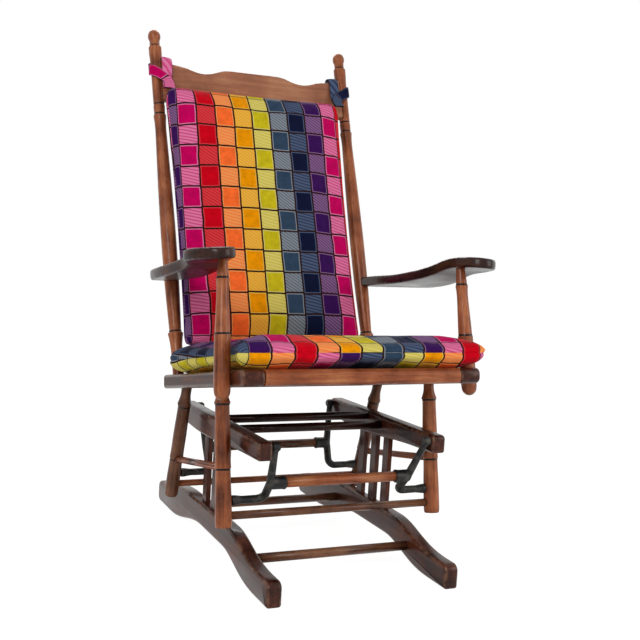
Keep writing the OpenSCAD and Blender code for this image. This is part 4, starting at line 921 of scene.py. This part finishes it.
class ROCKER_OT_ties(bpy.types.Operator):
    """Make the two cloth bands that tie the back cushion over the crest rail's ears to the posts"""
    bl_idname = "rocker.ties"
    bl_label = "Ties"

    def execute(self, context):
        _, up, front = back_axes()
        nodes, nearby = frame["nodes"], 0.04
        for side, foot, reach, drop, column in (
                ("left", 0.016, 0.022, 0.006, 0), ("right", 0.031, 0.027, 0.011, 6)):
            inward = Vector((-SIDES[side], 0, 0))
            top = extent(nodes["crest_rail"], up)[1]
            post = [
                v.co for v in nodes[f"back_post_{side}"].data.vertices if abs(v.co.dot(up) - top) < nearby]
            depth = (min(p.dot(front) for p in post) + max(p.dot(front) for p in post)) / 2
            sideways = (min(p.x for p in post) + max(p.x for p in post)) / 2
            axes = (inward, up, front)
            start = Vector((sideways, 0, 0)) + up * top + front * depth
            route = [
                (start + self.turned(place, axes), self.turned(face, axes))
                for place, face in self.route(foot, reach, drop)]
            piece = self.band(f"tie_{side}_band", route, column, settings().cloth)
            dress(piece, material("grid_velvet_cloth"), "chair", "tie_cloth", f"tie_{side}")
        return {"FINISHED"}

    def turned(self, values, axes):
        return sum((axis * value for axis, value in zip(axes, values)), Vector())

    def route(self, foot, reach, drop):
        """Places of the band's middle in metres and the ways it faces: inward, up and to the front,
        from the post's middle at the top of the crest rail. It rises from the cushion's corner, goes
        round the outside and the back of the post, over the ear and down again. foot and reach are
        its distances inward at the corner and over the ear, and drop is how far it sinks there."""
        return (
            ((foot, -0.093, 0.044), (0, 0.8, 0.6)),
            ((foot + 0.002, -0.076, 0.035), (0, 0.5, 0.85)),
            ((foot / 2 + 0.0085, -0.060, 0.024), (0, 0.15, 1)),
            ((0.002, -0.044, 0.0165), (0, 0, 1)),
            ((-0.0115, -0.035, 0.0117), (-0.7, 0, 0.7)),
            ((-0.0164, -0.029, 0), (-1, 0, 0)),
            ((-0.0117, -0.021, -0.0117), (-0.7, 0, -0.7)),
            ((0, -0.011, -0.0165), (0, 0, -1)),
            ((0.0115, 0.002 - drop / 2, -0.0145), (0.3, 0.6, -0.7)),
            ((reach, 0.0105 - drop, -0.006), (0.1, 1, -0.2)),
            ((reach, 0.0095 - drop, 0.006), (0.1, 1, 0.5)),
            ((reach, -0.002 - drop, 0.014), (0, 0.2, 1)),
            ((reach, -0.025, 0.0145), (0, 0, 1)),
            (((foot + reach) / 2, -0.048, 0.0165), (0, 0, 1)),
            ((foot + 0.001, -0.068, 0.026), (0, 0.4, 0.9)),
            ((foot - 0.001, -0.090, 0.036), (0, 0.8, 0.6)),
        )

    def band(self, name, route, column, cloth):
        """A flat cloth band that follows a route of places and facings."""
        steps, curl, slack = 6, 0.004, 0.3
        places = [place for place, face in route]
        line = []
        for number in range(len(route) - 1):
            four = [places[min(max(number + shift, 0), len(places) - 1)] for shift in (-1, 0, 1, 2)]
            for step in range(steps):
                share = step / steps
                face = route[number][1].lerp(route[number + 1][1], share)
                line.append((self.between(four, share), face))
        line.append((places[-1], route[-1][1]))
        deselect()
        bpy.ops.mesh.primitive_grid_add(
            x_subdivisions=steps, y_subdivisions=len(line) - 1, size=1, calc_uvs=False)
        piece = bpy.context.object
        piece.name = name
        rows = {}
        for vertex in piece.data.vertices:
            rows.setdefault(round((vertex.co.y + 0.5) * (len(line) - 1)), []).append(vertex)
        shares, lengths, length = {}, {}, 0.0
        for row in sorted(rows):
            place, face = line[row]
            before, after = line[max(row - 1, 0)][0], line[min(row + 1, len(line) - 1)][0]
            along = (after - before).normalized()
            wide = along.cross(face).normalized()
            facing = wide.cross(along)
            length += (place - line[max(row - 1, 0)][0]).length
            for vertex in rows[row]:
                share = vertex.co.x
                shares[vertex.index], lengths[vertex.index] = share, length
                # The band's edges curl back by a millimetre
                vertex.co = place + wide * share * cloth.tie_width - facing * curl * share * share
        # The first half shows a velvet square between woven ones, and the other half is woven alone
        layer = piece.data.uv_layers.new(name="cloth")
        for loop in piece.data.loops:
            index = loop.vertex_index
            place = lengths[index]
            if place > length / 2:
                place = (place - length / 2) * slack + 0.004
            layer.data[loop.index].uv = (
                (column + 0.5 + shares[index]) * cloth.column_width, place + cloth.velvet_height)
        face_outwards(piece)
        apply_modifier(piece, "SOLIDIFY", thickness=cloth.tie_thickness, offset=0)
        apply_modifier(piece, "SUBSURF", levels=1, render_levels=1)
        face_outwards(piece)
        smooth(piece, 60)
        return piece

    def between(self, four, share):
        """A point of the smooth line through four places, between the second and the third."""
        before, first, second, after = four
        curve = first * 2 + (second - before) * share
        curve += (before * 2 - first * 5 + second * 4 - after) * share ** 2
        curve += (first * 3 - before - second * 3 + after) * share ** 3
        return curve / 2


class ROCKER_OT_stage(bpy.types.Operator):
    """Set up the camera, the lamps and the pale floor"""
    bl_idname = "rocker.stage"
    bl_label = "Stage"

    def execute(self, context):
        stage = settings().stage
        self.add_camera(stage)
        for name, place, size, power in (
                ("key_lamp", (-2.4, -2.6, 2.4), 1.6, 60.0), ("fill_lamp", (2.6, -2.2, 1.7), 1.8, 34.0),
                ("rim_lamp", (0.6, 2.4, 2.6), 1.6, 40.0)):
            self.add_lamp(name, Vector(place), size, power)
        self.add_sky(stage)
        self.add_floor(stage)
        context.scene.view_settings.view_transform = "Standard"
        return {"FINISHED"}

    def add_camera(self, stage):
        camera = bpy.data.objects.new("camera", bpy.data.cameras.new("camera"))
        bpy.context.scene.collection.objects.link(camera)
        camera.data.lens = stage.camera_lens
        camera.data.sensor_width = 36
        turn = Euler((math.pi / 2 - stage.camera_drop, 0, stage.camera_azimuth)).to_matrix()
        roll = Matrix.Rotation(stage.camera_roll, 4, "Z")
        camera.matrix_world = Matrix.Translation(stage.camera_place) @ turn.to_4x4() @ roll
        bpy.context.scene.camera = camera

    def add_lamp(self, name, place, size, power):
        lamp = bpy.data.objects.new(name, bpy.data.lights.new(name, "AREA"))
        bpy.context.scene.collection.objects.link(lamp)
        lamp.data.size = size
        lamp.data.energy = power
        lamp.location = place
        lamp.rotation_euler = (place - Vector((0, 0, 0.5))).to_track_quat("Z", "Y").to_euler()

    def seen_directly(self, add):
        """1 for rays from the camera and for rays seen in gloss or through glass, else 0."""
        path = add("LightPath").outputs
        seen = add("Math", (path["Is Camera Ray"], path["Is Glossy Ray"]), operation="MAXIMUM")
        return add("Math", (seen, path["Is Transmission Ray"]), operation="MAXIMUM")

    def add_sky(self, stage):
        world = bpy.data.worlds.new("studio")
        bpy.context.scene.world = world
        world.use_nodes = True
        world.node_tree.nodes.clear()
        add = functools.partial(add_node, world.node_tree)
        strength = add("MapRange", (self.seen_directly(add), 0.0, 1.0, stage.sky_strength, 1.0))
        background = add("Background", ((*stage.sky_colour, 1), strength))
        add("OutputWorld", (background,))

    def add_floor(self, stage):
        deselect()
        bpy.ops.mesh.primitive_plane_add(size=stage.floor_size)
        floor = bpy.context.object
        floor.name = "floor"
        floor_material, add, bsdf = new_material("matt_paper_floor", Roughness=0.9)
        bsdf.inputs["Base Color"].default_value = (*stage.floor_colour, 1)
        # The floor glows white to the camera, but keeps a share of its own shaded surface
        glow = add("Emission", ((1, 1, 1, 1), stage.floor_glow))
        share = add("Math", (self.seen_directly(add), stage.floor_glow_share), operation="MULTIPLY")
        surface = add("MixShader", (share, bsdf, glow))
        connect(floor_material.node_tree.nodes["Material Output"], Surface=surface)
        floor.data.materials.append(floor_material)


class ROCKER_PT_panel(bpy.types.Panel):
    """The rocker's pieces, in the order that they are made"""
    bl_label = "Platform rocker"
    bl_idname = "ROCKER_PT_panel"
    bl_space_type = "VIEW_3D"
    bl_region_type = "UI"
    bl_category = "Rocker"

    def draw(self, context):
        for operator in STEPS:
            self.layout.operator(operator.bl_idname)


STEPS = (
    ROCKER_OT_stage, ROCKER_OT_turnings, ROCKER_OT_boards, ROCKER_OT_arms, ROCKER_OT_crest,
    ROCKER_OT_iron, ROCKER_OT_seat_cushion, ROCKER_OT_back_cushion, ROCKER_OT_ties,
)
CLASSES = (StageSettings, WoodSettings, IronSettings, ClothSettings, RockerSettings, *STEPS, ROCKER_PT_panel)


def register():
    for item in CLASSES:
        bpy.utils.register_class(item)
    bpy.types.Scene.rocker = bpy.props.PointerProperty(type=RockerSettings)


def unregister():
    del bpy.types.Scene.rocker
    for item in reversed(CLASSES):
        bpy.utils.unregister_class(item)


def main():
    register()
    for operator in STEPS:
        group, name = operator.bl_idname.split(".")
        getattr(getattr(bpy.ops, group), name)()


if __name__ == "__main__":
    main()
